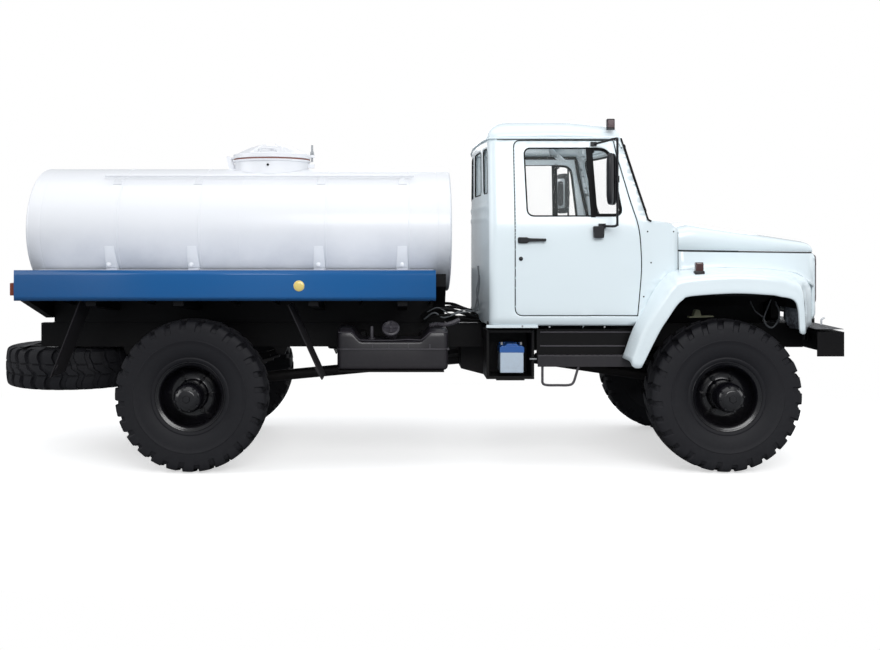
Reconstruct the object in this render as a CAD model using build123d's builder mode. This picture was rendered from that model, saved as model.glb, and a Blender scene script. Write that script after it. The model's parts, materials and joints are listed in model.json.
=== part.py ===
from build123d import *
import os
from math import atan2, cos, degrees, radians, sin, sqrt

os.makedirs("parts", exist_ok=True)

# A four-wheel-drive tank truck with a bonneted cab. Millimetres: X forward, Y left, Z up from the ground.
# Lengths along the truck are measured from the rear axle, which stands at rear_axle_x in the frame.
rear_axle_x = -1506.5
wheelbase = 3770
axle_height = 540

# Wheels
tyre_radius = 540
tyre_half_width = 160
bead_radius = 229
rim_half_width = 119
wheel_centre_y = 910
hub_radius = 104
hub_end = 272
rim_radius = 256
disc_radius = 154

# Ladder frame
rail_outer_y = 432
rail_height = 180
rail_top = 1015
rail_flange = 70
rail_wall = 8
frame_rear = -1240
frame_front = 4400
spring_eye_x = 570

# Front axle and steering
kingpin_y = 720
ball_radius = 88
knuckle_gap = 6
steering_arm = 200
tie_rod_height = 352

# Tank
tank_rear = -1275
tank_front = 1845
tank_half_width = 650
tank_half_height = 481
tank_centre_z = 1722
tank_wall = 5
manhole_x = 458
manhole_radius = 290
neck_top = 2270
saddle_places = (-676, -66, 872, 1491)
saddle_half = 40
rail_pipe_y = 445
rail_pipe_z = 2126

# Deck
deck_half_width = 1150
deck_inner_y = 524
deck_plate = 12
deck_rear = -1199
deck_front = 1723
skirt_bottom = 1239
skirt_top = 1407

# Cab
cab_rear = 2066
rear_bow = 40
cowl_front = 3450
cab_half_width = 1000
cab_wall = 45
sill_bottom = 1019
belt_height = 1746
drip_height = 2369
drip_half_width = 870
roof_top = 2571
door_gap = 8
screen_slope = 0.284

# Hood and wings
hood_front = 4472
panel_gap = 6
sheet = 22
wing_outer_y = 1120


def side_plane(y=0):
    """A plane along the truck: local x from the rear axle, local y up, outward to the right."""
    return Plane(origin=(rear_axle_x, y, 0), x_dir=(1, 0, 0), z_dir=(0, -1, 0))


def top_plane(z):
    """A level plane: local x from the rear axle, local y to the left."""
    return Plane(origin=(rear_axle_x, 0, z))


def cross_plane(x):
    """A plane across the truck at x from the rear axle: local x to the left, local y up."""
    return Plane(origin=(rear_axle_x + x, 0, 0), x_dir=(0, 1, 0), z_dir=(1, 0, 0))


def at(x, y, z):
    """A point given from the rear axle."""
    return (rear_axle_x + x, y, z)


def write(name, part):
    """Label a finished piece and write its file."""
    part.label = name
    export_step(part, f"parts/{name}.step")


# ---------------------------------------------------------------- frame
with BuildPart() as frame_rails:
    with BuildSketch(cross_plane(frame_rear)):
        with Locations((-rail_outer_y + rail_flange / 2, rail_top - rail_height / 2)):
            Rectangle(rail_flange, rail_height)
        with Locations((-rail_outer_y + rail_wall + rail_flange / 2, rail_top - rail_height / 2)):
            Rectangle(rail_flange, rail_height - 2 * rail_wall, mode=Mode.SUBTRACT)
    extrude(amount=frame_front - frame_rear)
    # Spring hangers under the rail
    for hanger_x in (-spring_eye_x, spring_eye_x, wheelbase - spring_eye_x, wheelbase + spring_eye_x):
        with BuildSketch(side_plane(-rail_outer_y + 35)):
            with BuildLine():
                Polyline(
                    (hanger_x - 55, rail_top - rail_height),
                    (hanger_x + 55, rail_top - rail_height),
                    (hanger_x + 30, rail_top - rail_height - 62),
                    (hanger_x - 30, rail_top - rail_height - 62),
                    close=True,
                )
            make_face()
        extrude(amount=20, both=True)
    mirror(about=Plane.XZ)
write("frame_rails", frame_rails.part)

spare_x = -1087
spare_z = 664
with BuildPart() as cross_members:
    # Channel members between the webs, each with an oval lightening slot
    member_height = rail_height - 2 * rail_wall - 8
    for member_x in (-1200, -560, 620, 1250, 1800, 4340):
        with BuildSketch(cross_plane(member_x - 30)):
            with Locations((0, rail_top - rail_height / 2)):
                Rectangle(2 * (rail_outer_y - rail_wall), member_height)
                SlotOverall(560, 78, mode=Mode.SUBTRACT)
        extrude(amount=60)
        with BuildSketch(top_plane(rail_top - rail_wall - 12)):
            with Locations((member_x + 8, 0)):
                Rectangle(52, 2 * (rail_outer_y - rail_flange) - 20)
        extrude(amount=-member_height + 16, mode=Mode.SUBTRACT)
    # The spare wheel's carrier: two long bars, two cross bars under the rails, a post and a plate
    bar_bottom = spare_z + tyre_half_width + 2
    bar_top = rail_top - rail_height - 0.5
    with BuildSketch(top_plane(bar_bottom)):
        with Locations((spare_x - 125, -300), (spare_x - 125, 300)):
            Rectangle(380, 40)
        with Locations((spare_x - 293, 0), (spare_x, 0)):
            Rectangle(44, 2 * rail_outer_y)
        with Locations((spare_x, 0)):
            Circle(60)
    extrude(amount=bar_top - bar_bottom)
    with BuildSketch(top_plane(spare_z + 1)):
        with Locations((spare_x, 0)):
            Circle(34)
    extrude(amount=bar_bottom - spare_z - 1)
    with BuildSketch(top_plane(spare_z + 1)):
        with Locations((spare_x, 0)):
            Circle(138)
    extrude(amount=12)
write("cross_members", cross_members.part)

# ---------------------------------------------------------------- leaf springs
spring_y = 397
spring_width = 75
leaf_thickness = 11
leaf_half_lengths = (560, 515, 460, 400, 330, 250, 165)
spring_end_z = 768
spring_camber = 86
with BuildPart() as leaf_springs:
    for axle_x in (0, wheelbase):
        for index, half_length in enumerate(leaf_half_lengths):
            full = leaf_half_lengths[0]
            bend_radius = (full**2 + spring_camber**2) / (2 * spring_camber)
            middle_z = spring_end_z - spring_camber - index * leaf_thickness
            drop = bend_radius - sqrt(bend_radius**2 - half_length**2)
            with BuildSketch(side_plane(spring_y)):
                with BuildLine():
                    ThreePointArc(
                        (axle_x - half_length, middle_z + drop),
                        (axle_x, middle_z),
                        (axle_x + half_length, middle_z + drop),
                    )
                    Line(
                        (axle_x + half_length, middle_z + drop),
                        (axle_x + half_length, middle_z + drop - leaf_thickness),
                    )
                    ThreePointArc(
                        (axle_x + half_length, middle_z + drop - leaf_thickness),
                        (axle_x, middle_z - leaf_thickness),
                        (axle_x - half_length, middle_z + drop - leaf_thickness),
                    )
                    Line(
                        (axle_x - half_length, middle_z + drop - leaf_thickness),
                        (axle_x - half_length, middle_z + drop),
                    )
                make_face()
            extrude(amount=spring_width / 2, both=True)
    mirror(about=Plane.XZ)
write("leaf_springs", leaf_springs.part)

# ---------------------------------------------------------------- axles
spring_seat_top = spring_end_z - spring_camber - len(leaf_half_lengths) * leaf_thickness


def axle_casing(axle_x, tube_end):
    """A tube across the truck with a banjo in the middle, a pinion nose and two spring seats."""
    with BuildPart() as casing:
        with BuildSketch(Plane(origin=at(axle_x, 0, axle_height), x_dir=(0, 1, 0), z_dir=(1, 0, 0))):
            with BuildLine():
                Polyline(
                    (-tube_end, 0),
                    (-tube_end, 52),
                    (-330, 60),
                    (-210, 78),
                    (-130, 128),
                    (-60, 168),
                    (60, 168),
                    (130, 128),
                    (210, 78),
                    (330, 60),
                    (tube_end, 52),
                    (tube_end, 0),
                    close=True,
                )
            make_face()
        revolve(axis=Axis(at(axle_x, 0, axle_height), (0, 1, 0)))
        nose = -1 if axle_x > 0 else 1
        with BuildSketch(Plane(origin=at(axle_x + nose * 120, 0, axle_height), z_dir=(nose, 0, 0))):
            Circle(92)
        extrude(amount=150, taper=12)
        with BuildSketch(Plane(origin=at(axle_x + nose * 270, 0, axle_height), z_dir=(nose, 0, 0))):
            Circle(70)
        extrude(amount=22)
        for side in (-1, 1):
            with BuildSketch(top_plane(axle_height)):
                with Locations((axle_x, side * spring_y)):
                    Rectangle(150, spring_width + 10)
            extrude(amount=spring_seat_top - axle_height)
    return casing


def ball(side, radius, mode=Mode.ADD):
    """A faceted ball turned about a king-pin's upright line, its corners on the radius."""
    steps = 8
    points = [
        (radius * sin(radians(180 * step / steps)), radius * cos(radians(180 * step / steps)))
        for step in range(steps + 1)
    ]
    centre = at(wheelbase, side * kingpin_y, axle_height)
    with BuildSketch(Plane(origin=centre, x_dir=(1, 0, 0), z_dir=(0, -1, 0))) as section:
        with BuildLine():
            Polyline(*points, close=True)
        make_face()
    revolve(section.sketch, axis=Axis(centre, (0, 0, 1)), mode=mode)


front_axle = axle_casing(wheelbase, kingpin_y)
with BuildPart() as front_axle_with_balls:
    add(front_axle.part)
    for side in (-1, 1):
        ball(side, ball_radius)
write("front_axle", front_axle_with_balls.part)

rear_axle = axle_casing(0, wheel_centre_y - 70)
with BuildPart() as rear_axle_with_plates:
    add(rear_axle.part)
    for side in (-1, 1):
        with BuildSketch(side_plane(side * 748)):
            with Locations((0, axle_height)):
                Circle(170)
        extrude(amount=5, both=True)
write("rear_axle", rear_axle_with_plates.part)

# ---------------------------------------------------------------- wheels
with BuildPart() as tyre:
    with BuildSketch(Plane.XY):
        with BuildLine():
            Polyline(
                (bead_radius, -rim_half_width),
                (bead_radius, rim_half_width),
                (rim_radius, rim_half_width + 10),
                (340, tyre_half_width - 4),
                (430, tyre_half_width),
                (500, 150),
                (tyre_radius, 105),
                (tyre_radius, -105),
                (500, -150),
                (430, -tyre_half_width),
                (340, -tyre_half_width + 4),
                (rim_radius, -rim_half_width - 10),
                close=True,
            )
        make_face()
    revolve(axis=Axis.Y)


def rim_section(inner_outline):
    """A half section of a wheel: x is the radius and y points outward from the tyre's middle."""
    flange = rim_half_width + 10
    barrel = bead_radius - 9
    with BuildSketch(Plane.XY) as section:
        with BuildLine():
            Polyline(
                (rim_radius, -flange),
                (bead_radius, -rim_half_width),
                (bead_radius, rim_half_width),
                (rim_radius, flange),
                (rim_radius, flange + 8),
                (rim_radius - 14, flange + 8),
                (barrel, rim_half_width - 6),
                (barrel, 52),
                *inner_outline,
                (barrel, -12),
                (barrel, -rim_half_width + 6),
                (rim_radius - 14, -flange - 8),
                (rim_radius, -flange - 8),
                close=True,
            )
        make_face()
    return section.sketch


with BuildPart() as rim:
    # A deep dish, a long planetary-style hub outside it and a brake drum inside it
    drum = 190
    add(
        rim_section(
            (
                (205, 40),
                (disc_radius, 0),
                (hub_radius, 0),
                (hub_radius - 2, 205),
                (hub_radius - 12, 238),
                (70, 262),
                (64, hub_end),
                (0, hub_end),
                (0, -62),
                (drum - 14, -62),
                (drum - 14, -138),
                (drum, -138),
                (drum, -46),
                (disc_radius + 12, -14),
                (200, 16),
            )
        )
    )
    revolve(axis=Axis.Y)
    # Wheel nuts on the disc and cover bolts on the hub's end
    with BuildSketch(Plane(origin=(0, 0, 0), x_dir=(1, 0, 0), z_dir=(0, 1, 0))):
        with PolarLocations(130, 6):
            RegularPolygon(17, 6)
    extrude(amount=26)
    with BuildSketch(Plane(origin=(0, hub_end, 0), x_dir=(1, 0, 0), z_dir=(0, 1, 0))):
        RegularPolygon(28, 6)
    extrude(amount=8)

with BuildPart() as spare_rim:
    add(
        rim_section(
            (
                (205, 40),
                (disc_radius, 0),
                (108, 0),
                (108, -10),
                (disc_radius + 4, -10),
                (200, 16),
            )
        )
    )
    revolve(axis=Axis.Y)
    with BuildSketch(Plane(origin=(0, -12, 0), x_dir=(1, 0, 0), z_dir=(0, 1, 0))):
        with PolarLocations(130, 6):
            Circle(11)
    extrude(amount=20, mode=Mode.SUBTRACT)

wheel_places = {
    "front_right": (wheelbase, -1),
    "front_left": (wheelbase, 1),
    "rear_right": (0, -1),
    "rear_left": (0, 1),
}
for place, (axle_x, side) in wheel_places.items():
    turned = Rotation(0, 0, 0 if side > 0 else 180)
    stand = Pos(*at(axle_x, side * wheel_centre_y, axle_height))
    write(f"tyre_{place}", stand * turned * tyre.part)
    write(f"rim_{place}", stand * turned * rim.part)

flat = Pos(*at(spare_x, 0, spare_z)) * Rotation(90, 0, 0)
write("spare_tyre", flat * tyre.part)
write("spare_rim", flat * spare_rim.part)

# ---------------------------------------------------------------- steering knuckles and tie rod
cup_inner = ball_radius + knuckle_gap + 8
cup_outer = cup_inner + 20


def knuckle(side):
    """A cup round the axle's ball, with king-pin bosses, a back plate, a stub and a steering arm."""
    with BuildPart() as piece:
        ball(side, cup_outer)
        with BuildSketch(side_plane(side * 760)):
            with Locations((wheelbase, axle_height)):
                Circle(168)
        extrude(amount=5, both=True)
        with BuildSketch(side_plane(side * 834)):
            with Locations((wheelbase, axle_height)):
                Circle(46)
        extrude(amount=8, both=True)
        # Room for the ball and the axle tube on the inner side
        ball(side, cup_inner, Mode.SUBTRACT)
        with BuildSketch(Plane(origin=at(wheelbase, side * (kingpin_y - 8), axle_height), z_dir=(0, -side, 0))):
            Circle(cup_outer + 2)
        extrude(amount=150, mode=Mode.SUBTRACT)
        with BuildSketch(top_plane(axle_height + cup_inner)):
            with Locations((wheelbase, side * kingpin_y)):
                Circle(44)
        extrude(amount=48)
        with BuildSketch(top_plane(axle_height - cup_inner)):
            with Locations((wheelbase, side * kingpin_y)):
                Circle(44)
        extrude(amount=-48)
        # Steering arm under the lower boss, to the rear
        with BuildSketch(top_plane(tie_rod_height + 32)):
            with BuildLine():
                Polyline(
                    (wheelbase + 30, side * kingpin_y - 34),
                    (wheelbase + 30, side * kingpin_y + 34),
                    (wheelbase - steering_arm - 22, side * kingpin_y + 22 - side * 30),
                    (wheelbase - steering_arm - 22, side * kingpin_y - 22 - side * 30),
                    close=True,
                )
            make_face()
        extrude(amount=24)
    return piece


write("knuckle_right", knuckle(-1).part)
write("knuckle_left", knuckle(1).part)

with BuildPart() as tie_rod:
    rod_end = kingpin_y - 30
    with BuildSketch(side_plane(0)):
        with Locations((wheelbase - steering_arm, tie_rod_height)):
            Circle(17)
    extrude(amount=rod_end, both=True)
    for side in (-1, 1):
        with BuildSketch(top_plane(tie_rod_height - 24)):
            with Locations((wheelbase - steering_arm, side * rod_end)):
                Circle(28)
        extrude(amount=48)
write("tie_rod", tie_rod.part)

# ---------------------------------------------------------------- engine, driveline, exhaust
with BuildPart() as engine:
    with BuildSketch(side_plane(0)):
        with BuildLine():
            Polyline(
                (3560, 900),
                (3640, 830),
                (4180, 830),
                (4250, 900),
                (4250, 1330),
                (4120, 1420),
                (3700, 1420),
                (3560, 1330),
                close=True,
            )
        make_face()
    extrude(amount=270, both=True)
    with BuildSketch(cross_plane(4250)):
        with Locations((0, 1120)):
            Circle(230)
    extrude(amount=40)
write("engine", engine.part)

with BuildPart() as radiator:
    with BuildSketch(cross_plane(4310)):
        with Locations((0, 1285)):
            RectangleRounded(700, 520, 25)
    extrude(amount=70)
write("radiator", radiator.part)


def shaft_between(start, end, radius):
    """A round shaft between two points given from the rear axle."""
    first = Vector(*at(*start))
    last = Vector(*at(*end))
    with BuildSketch(Plane(origin=first, z_dir=last - first)) as section:
        Circle(radius)
    extrude(section.sketch, amount=(last - first).length)


with BuildPart() as driveline:
    # Gearbox behind the engine, transfer case amidships and three propeller shafts
    with BuildSketch(side_plane(0)):
        with BuildLine():
            Polyline((3559, 830), (3559, 1120), (2860, 950), (2860, 800), (3400, 790), close=True)
        make_face()
    extrude(amount=150, both=True)
    with BuildSketch(side_plane(0)):
        with BuildLine():
            Polyline((1950, 640), (1950, 900), (2180, 960), (2320, 900), (2320, 640), (2180, 580), close=True)
        make_face()
    extrude(amount=170, both=True)
    shaft_between((2326, 0, 840), (2854, 0, 890), 38)
    shaft_between((296, 0, 545), (1944, 0, 700), 42)
    shaft_between((2326, 0, 730), (3466, 0, 560), 38)
write("driveline", driveline.part)

with BuildPart() as exhaust:
    with BuildSketch(cross_plane(1990)):
        with Locations((300, 745)):
            Ellipse(105, 80)
    extrude(amount=-720)
    shaft_between((1992, 300, 745), (3500, 300, 790), 28)
    shaft_between((1262, 306, 745), (880, 640, 745), 28)
write("exhaust", exhaust.part)

# ---------------------------------------------------------------- front bumper
with BuildPart() as front_bumper:
    with BuildSketch(top_plane(823)):
        with BuildLine():
            Polyline((4402, -1050), (4402, 1050), (4590, 1050))
            ThreePointArc((4590, 1050), (4626, 0), (4590, -1050))
            Line((4590, -1050), (4402, -1050))
        make_face()
    extrude(amount=172)
    # Hollow pressing, open to the rear below the step plate
    with BuildSketch(top_plane(815)):
        with Locations((4480, 0)):
            Rectangle(180, 2080)
    extrude(amount=168, mode=Mode.SUBTRACT)
    # Frame horns
    for side in (-1, 1):
        with BuildSketch(cross_plane(frame_front)):
            with Locations((side * (rail_outer_y - 35), 905)):
                Rectangle(60, 150)
        extrude(amount=125)
    # Tow forks with upright pins
    for side in (-1, 1):
        for leaf in (-1, 1):
            with BuildSketch(side_plane(side * 397 + leaf * 30)):
                with BuildLine():
                    Polyline((4560, 880), (4640, 880), (4640, 960), (4560, 960), close=True)
                make_face()
            extrude(amount=9, both=True)
        with BuildSketch(top_plane(905)):
            with Locations((4592, side * 397)):
                Rectangle(50, 70)
        extrude(amount=30)
        # The tow pin with its bent head
        with BuildSketch(top_plane(865)):
            with Locations((4612, side * 397)):
                Circle(13)
        extrude(amount=185)
        shaft_between((4612, side * 397, 1045), (4612, side * (397 - 60), 1060), 9)
write("front_bumper", front_bumper.part)

# ---------------------------------------------------------------- fuel tanks, steps, battery
fuel_tank_y = -755
with BuildPart() as fuel_tanks:
    with BuildSketch(cross_plane(1028)):
        with Locations((fuel_tank_y, 869)):
            RectangleRounded(390, 334, 70)
    extrude(amount=789)
    chamfer(fuel_tanks.faces().filter_by(Axis.X).edges(), 16)
    # The dip pressed into the top, and the seam flange round the middle
    with BuildSketch(side_plane(fuel_tank_y)):
        with BuildLine():
            Polyline((1115, 1040), (1150, 1018), (1690, 1018), (1725, 1040), close=True)
        make_face()
    extrude(amount=200, both=True, mode=Mode.SUBTRACT)
    with BuildSketch(top_plane(861)):
        with Locations((1422, fuel_tank_y)):
            RectangleRounded(805, 406, 30)
    extrude(amount=10)
    with BuildSketch(top_plane(1010)):
        with Locations((1400, -830)):
            Circle(48)
    extrude(amount=50)
    # Bearers under the tank, out from the frame
    for bearer_x in (1200, 1650):
        with BuildSketch(side_plane(-rail_outer_y)):
            with Locations((bearer_x, 830)):
                Rectangle(50, 340)
        extrude(amount=60)
        with BuildSketch(side_plane(-rail_outer_y)):
            with Locations((bearer_x, 681)):
                Rectangle(50, 42)
        extrude(amount=500)
    mirror(about=Plane.XZ)
write("fuel_tanks", fuel_tanks.part)

step_rear = 2452
step_front = 3121
step_back_y = 880
step_outer_y = 955
with BuildPart() as side_steps:
    # A ribbed upright panel below each door
    with BuildSketch(side_plane(-step_back_y)):
        with BuildLine():
            Polyline(
                (step_rear, 823),
                (step_front - 55, 823),
                (step_front + 29, 1005),
                (step_rear, 1005),
                close=True,
            )
        make_face()
    extrude(amount=12)
    for rib_z in (883, 982):
        with BuildSketch(side_plane(-step_back_y - 12)):
            with Locations(((step_rear + step_front) / 2 - 15, rib_z)):
                Rectangle(step_front - step_rear - 50, 12)
        extrude(amount=12)
    # The tread, folded down at its outer edge
    with BuildSketch(cross_plane(step_rear)):
        with BuildLine():
            Polyline(
                (-step_back_y + 90, 823),
                (-step_outer_y, 823),
                (-step_outer_y, 740),
                (-step_outer_y + 12, 740),
                (-step_outer_y + 12, 811),
                (-step_back_y + 90, 811),
                close=True,
            )
        make_face()
    extrude(amount=step_front - step_rear)
    for arm_x in (2540, 3040):
        with BuildSketch(side_plane(-rail_outer_y)):
            with Locations((arm_x, 960)):
                Rectangle(50, 50)
        extrude(amount=step_back_y - rail_outer_y)
    # The hoop for the lower foot: upright rear leg, bottom bar, slanted front leg
    hoop_y = -step_outer_y + 12
    shaft_between((2487, hoop_y, 745), (2487, hoop_y, 609), 10)
    shaft_between((2477, hoop_y, 609), (2700, hoop_y, 609), 10)
    shaft_between((2694, hoop_y, 609), (2749, hoop_y, 745), 10)
    mirror(about=Plane.XZ)
write("side_steps", side_steps.part)

battery_rear = 2091
battery_front = 2431
with BuildPart() as battery_box:
    with BuildSketch(side_plane(-600)):
        with BuildLine():
            Polyline((battery_rear, 649), (battery_front, 649), (battery_front, 1000), (battery_rear, 1000), close=True)
        make_face()
    extrude(amount=330)
    with BuildSketch(side_plane(-625)):
        with BuildLine():
            Polyline(
                (battery_rear + 30, 690),
                (battery_front - 50, 690),
                (battery_front - 50, 960),
                (battery_rear + 30, 960),
                close=True,
            )
        make_face()
    extrude(amount=330, mode=Mode.SUBTRACT)
    with BuildSketch(side_plane(-rail_outer_y)):
        with Locations((2261, 940)):
            Rectangle(200, 60)
    extrude(amount=170)
write("battery_box", battery_box.part)

with BuildPart() as battery:
    with BuildSketch(side_plane(-690)):
        with Locations((2262, 790)):
            Rectangle(190, 199)
    extrude(amount=225)
write("battery", battery.part)

# ---------------------------------------------------------------- mudguards
with BuildPart() as mudguards:
    for (top_x, top_z), (low_x, low_z) in (((691, 1185), (929, 661)), ((-763, 1220), (-973, 675))):
        with BuildSketch(side_plane(-730)):
            with BuildLine():
                Polyline((top_x - 5, top_z), (top_x + 5, top_z), (low_x + 5, low_z), (low_x - 5, low_z), close=True)
            make_face()
        extrude(amount=340)
    mirror(about=Plane.XZ)
write("mudguards", mudguards.part)

# ---------------------------------------------------------------- tank
# Half widths and half heights of the dished heads, with how far each ring stands out of the barrel
tank_chords = 72
head_rings = ((0, 650, 481), (25, 628, 460), (45, 590, 425), (68, 300, 215))


def tank_ring(half_width, half_height):
    """The corners of an elliptic section drawn with short chords, which keeps the shell light."""
    turns = [radians((step + 0.5) * 360 / tank_chords) for step in range(tank_chords)]
    return [(half_width * cos(turn), tank_centre_z + half_height * sin(turn)) for turn in turns]


def tank_solid(inset):
    """The closed tank: an elliptic barrel with dished heads, drawn in by the inset."""
    sections = []
    for end, outward in ((tank_rear + inset, -1), (tank_front - inset, 1)):
        rings = head_rings if outward > 0 else head_rings[::-1]
        for depth, half_width, half_height in rings:
            with BuildSketch(cross_plane(end + outward * depth)) as ring:
                with BuildLine():
                    Polyline(*tank_ring(half_width - inset, half_height - inset), close=True)
                make_face()
            sections.append(ring.sketch)
    with BuildPart() as form:
        loft(sections, ruled=True)
    return form.part


tank_outer = tank_solid(0)
tank_inner = tank_solid(tank_wall)

# ---------------------------------------------------------------- deck
end_piece = 60
with BuildPart() as deck_frame:
    # Sills, with the bearers on a thin packing above them
    for side in (-1, 1):
        with BuildSketch(cross_plane(deck_rear + end_piece)):
            with Locations((side * 397, 1062)):
                Rectangle(80, 94)
        extrude(amount=deck_front + 91 - deck_rear - end_piece)
    # Cross bearers, deep between the sills and thin at the skirts
    for bearer_x in saddle_places:
        with BuildSketch(cross_plane(bearer_x)):
            with BuildLine():
                Polyline(
                    (-1128, skirt_bottom),
                    (1128, skirt_bottom),
                    (1128, skirt_bottom - 60),
                    (440, 1110),
                    (-440, 1110),
                    (-1128, skirt_bottom - 60),
                    close=True,
                )
            make_face()
        extrude(amount=35, both=True)
    with BuildSketch(cross_plane(deck_rear)):
        with BuildLine():
            Polyline(
                (-1128, skirt_bottom),
                (1128, skirt_bottom),
                (450, 1053),
                (-450, 1053),
                close=True,
            )
        make_face()
    extrude(amount=end_piece - 1)
    # The front bearer that carries the tank's end
    with BuildSketch(cross_plane(1735)):
        with Locations((0, 1250.5)):
            Rectangle(1280, 281)
    extrude(amount=80)
    with BuildSketch(cross_plane(1735)):
        with Locations((0, 1250)):
            Rectangle(640, 120)
    extrude(amount=80, mode=Mode.SUBTRACT)
    add(tank_outer, mode=Mode.SUBTRACT)
write("deck_frame", deck_frame.part)

with BuildPart() as deck_plates:
    with BuildSketch(top_plane(skirt_top)):
        with Locations(((deck_rear + deck_front) / 2, -(deck_half_width + deck_inner_y) / 2)):
            Rectangle(deck_front - deck_rear, deck_half_width - deck_inner_y)
    extrude(amount=deck_plate)
    mirror(about=Plane.XZ)
write("deck_plates", deck_plates.part)

with BuildPart() as side_skirts:
    with BuildSketch(cross_plane(deck_rear)):
        with BuildLine():
            Polyline(
                (-deck_half_width, skirt_bottom),
                (-deck_half_width, skirt_top),
                (-deck_half_width + 60, skirt_top),
                (-deck_half_width + 60, skirt_top - 12),
                (-deck_half_width + 12, skirt_top - 12),
                (-deck_half_width + 12, skirt_bottom + 12),
                (-deck_half_width + 60, skirt_bottom + 12),
                (-deck_half_width + 60, skirt_bottom),
                close=True,
            )
        make_face()
    extrude(amount=deck_front - deck_rear)
    mirror(about=Plane.XZ)
write("side_skirts", side_skirts.part)

outlet_z = 1330
outlet_end = tank_rear - 145
outlet_bore = 48
with BuildPart() as tank_shell:
    add(tank_outer)
    add(tank_inner, mode=Mode.SUBTRACT)
    with BuildSketch(top_plane(2100)):
        with Locations((manhole_x, 0)):
            Circle(manhole_radius - 6)
    extrude(amount=200, mode=Mode.SUBTRACT)
    with BuildSketch(cross_plane(outlet_end)):
        with Locations((0, outlet_z)):
            Circle(outlet_bore)
    extrude(amount=250, mode=Mode.SUBTRACT)
write("tank_shell", tank_shell.part)

gasket_top = neck_top + 11
hinge_x = 118
hinge_z = 2290
neck_seam = 0.6
with BuildPart() as manhole_neck:
    with BuildSketch(top_plane(2120)):
        with Locations((manhole_x, 0)):
            Circle(manhole_radius)
            Circle(manhole_radius - 6, mode=Mode.SUBTRACT)
    extrude(amount=neck_top - 2120)
    with BuildSketch(top_plane(neck_top - 14)):
        with Locations((manhole_x, 0)):
            Circle(manhole_radius + 16)
            Circle(manhole_radius - 6, mode=Mode.SUBTRACT)
    extrude(amount=14)
    # The gasket the lid closes on
    with BuildSketch(top_plane(neck_top)):
        with Locations((manhole_x, 0)):
            Circle(manhole_radius + 10)
            Circle(manhole_radius - 4, mode=Mode.SUBTRACT)
    extrude(amount=gasket_top - neck_top)
    # The neck is rolled in eight segments, with the seams on the axes and the diagonals
    with BuildSketch(top_plane(2100)):
        with Locations((manhole_x, 0)):
            with PolarLocations(0, 4, angular_range=180):
                Rectangle(3 * manhole_radius, neck_seam)
    extrude(amount=200, mode=Mode.SUBTRACT)
    # Hinge bracket behind the neck, and the lug of the swing bolt in front of it
    for side in (-1, 1):
        with BuildSketch(side_plane(side * 48)):
            with BuildLine():
                Polyline(
                    (126, 2190),
                    (171, 2190),
                    (132, hinge_z),
                    (104, hinge_z),
                    close=True,
                )
            make_face()
            with Locations((hinge_x, hinge_z)):
                Circle(14)
        extrude(amount=4, both=True)
    with BuildSketch(top_plane(2214)):
        with Locations((manhole_x + manhole_radius + 24, 0)):
            Rectangle(46, 26)
    extrude(amount=34)
    add(tank_outer, mode=Mode.SUBTRACT)
write("manhole_neck", manhole_neck.part)

lid_bottom = gasket_top + 1
lid_rim = manhole_radius + 14
with BuildPart() as manhole_lid:
    with BuildSketch(Plane(origin=at(manhole_x, 0, lid_bottom), x_dir=(1, 0, 0), z_dir=(0, -1, 0))):
        with BuildLine():
            Polyline(
                (0, 0),
                (lid_rim, 0),
                (lid_rim, 34),
                (lid_rim - 26, 38),
                (200, 82),
                (90, 116),
                (0, 131),
                close=True,
            )
        make_face()
    revolve(axis=Axis(at(manhole_x, 0, 0), (0, 0, 1)))
    # Hinge barrel and its arms
    with BuildSketch(side_plane(0)):
        with Locations((hinge_x, hinge_z)):
            Circle(11)
    extrude(amount=38, both=True)
    with BuildSketch(top_plane(hinge_z - 7)):
        with Locations((150, -24), (150, 24)):
            Rectangle(64, 18)
    extrude(amount=14)
    # Fork at the front, with the swing bolt and its wing nut standing in it
    with BuildSketch(top_plane(lid_bottom + 14)):
        with Locations((manhole_x + lid_rim + 8, 0)):
            Rectangle(52, 44)
    extrude(amount=20)
    with BuildSketch(top_plane(lid_bottom - 20)):
        with Locations((manhole_x + lid_rim + 15, 0)):
            Circle(8)
    extrude(amount=135)
    with BuildSketch(top_plane(lid_bottom + 34)):
        with Locations((manhole_x + lid_rim + 15, 0)):
            Circle(17)
    extrude(amount=34)
write("manhole_lid", manhole_lid.part)

with BuildPart() as tank_bands:
    for band_x in (-615, -12, 925, 1542):
        with BuildSketch(cross_plane(band_x)):
            with BuildLine():
                Polyline(*tank_ring(tank_half_width + 4, tank_half_height + 4), close=True)
            make_face()
        extrude(amount=6, both=True)
    add(tank_outer, mode=Mode.SUBTRACT)
    with BuildSketch(top_plane(skirt_top + deck_plate)):
        Rectangle(9000, 3000)
    extrude(amount=-400, mode=Mode.SUBTRACT)
write("tank_bands", tank_bands.part)

with BuildPart() as tank_saddles:
    # A block under the tank at each bearer, and a strap up each side of the barrel
    for saddle_x in saddle_places:
        with BuildSketch(cross_plane(saddle_x)):
            with Locations((0, tank_centre_z)):
                Ellipse(tank_half_width + 10, tank_half_height + 10)
            with Locations((0, 1592 + 500)):
                Rectangle(2000, 1000, mode=Mode.SUBTRACT)
            with Locations((0, (skirt_bottom + skirt_top) / 2)):
                Rectangle(1300, skirt_top - skirt_bottom)
            # Open below the bearers, where the ellipse would reach into them
            with Locations((0, skirt_bottom - 50)):
                Rectangle(1400, 100, mode=Mode.SUBTRACT)
        extrude(amount=saddle_half, both=True)
    add(tank_outer, mode=Mode.SUBTRACT)
write("tank_saddles", tank_saddles.part)

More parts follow.
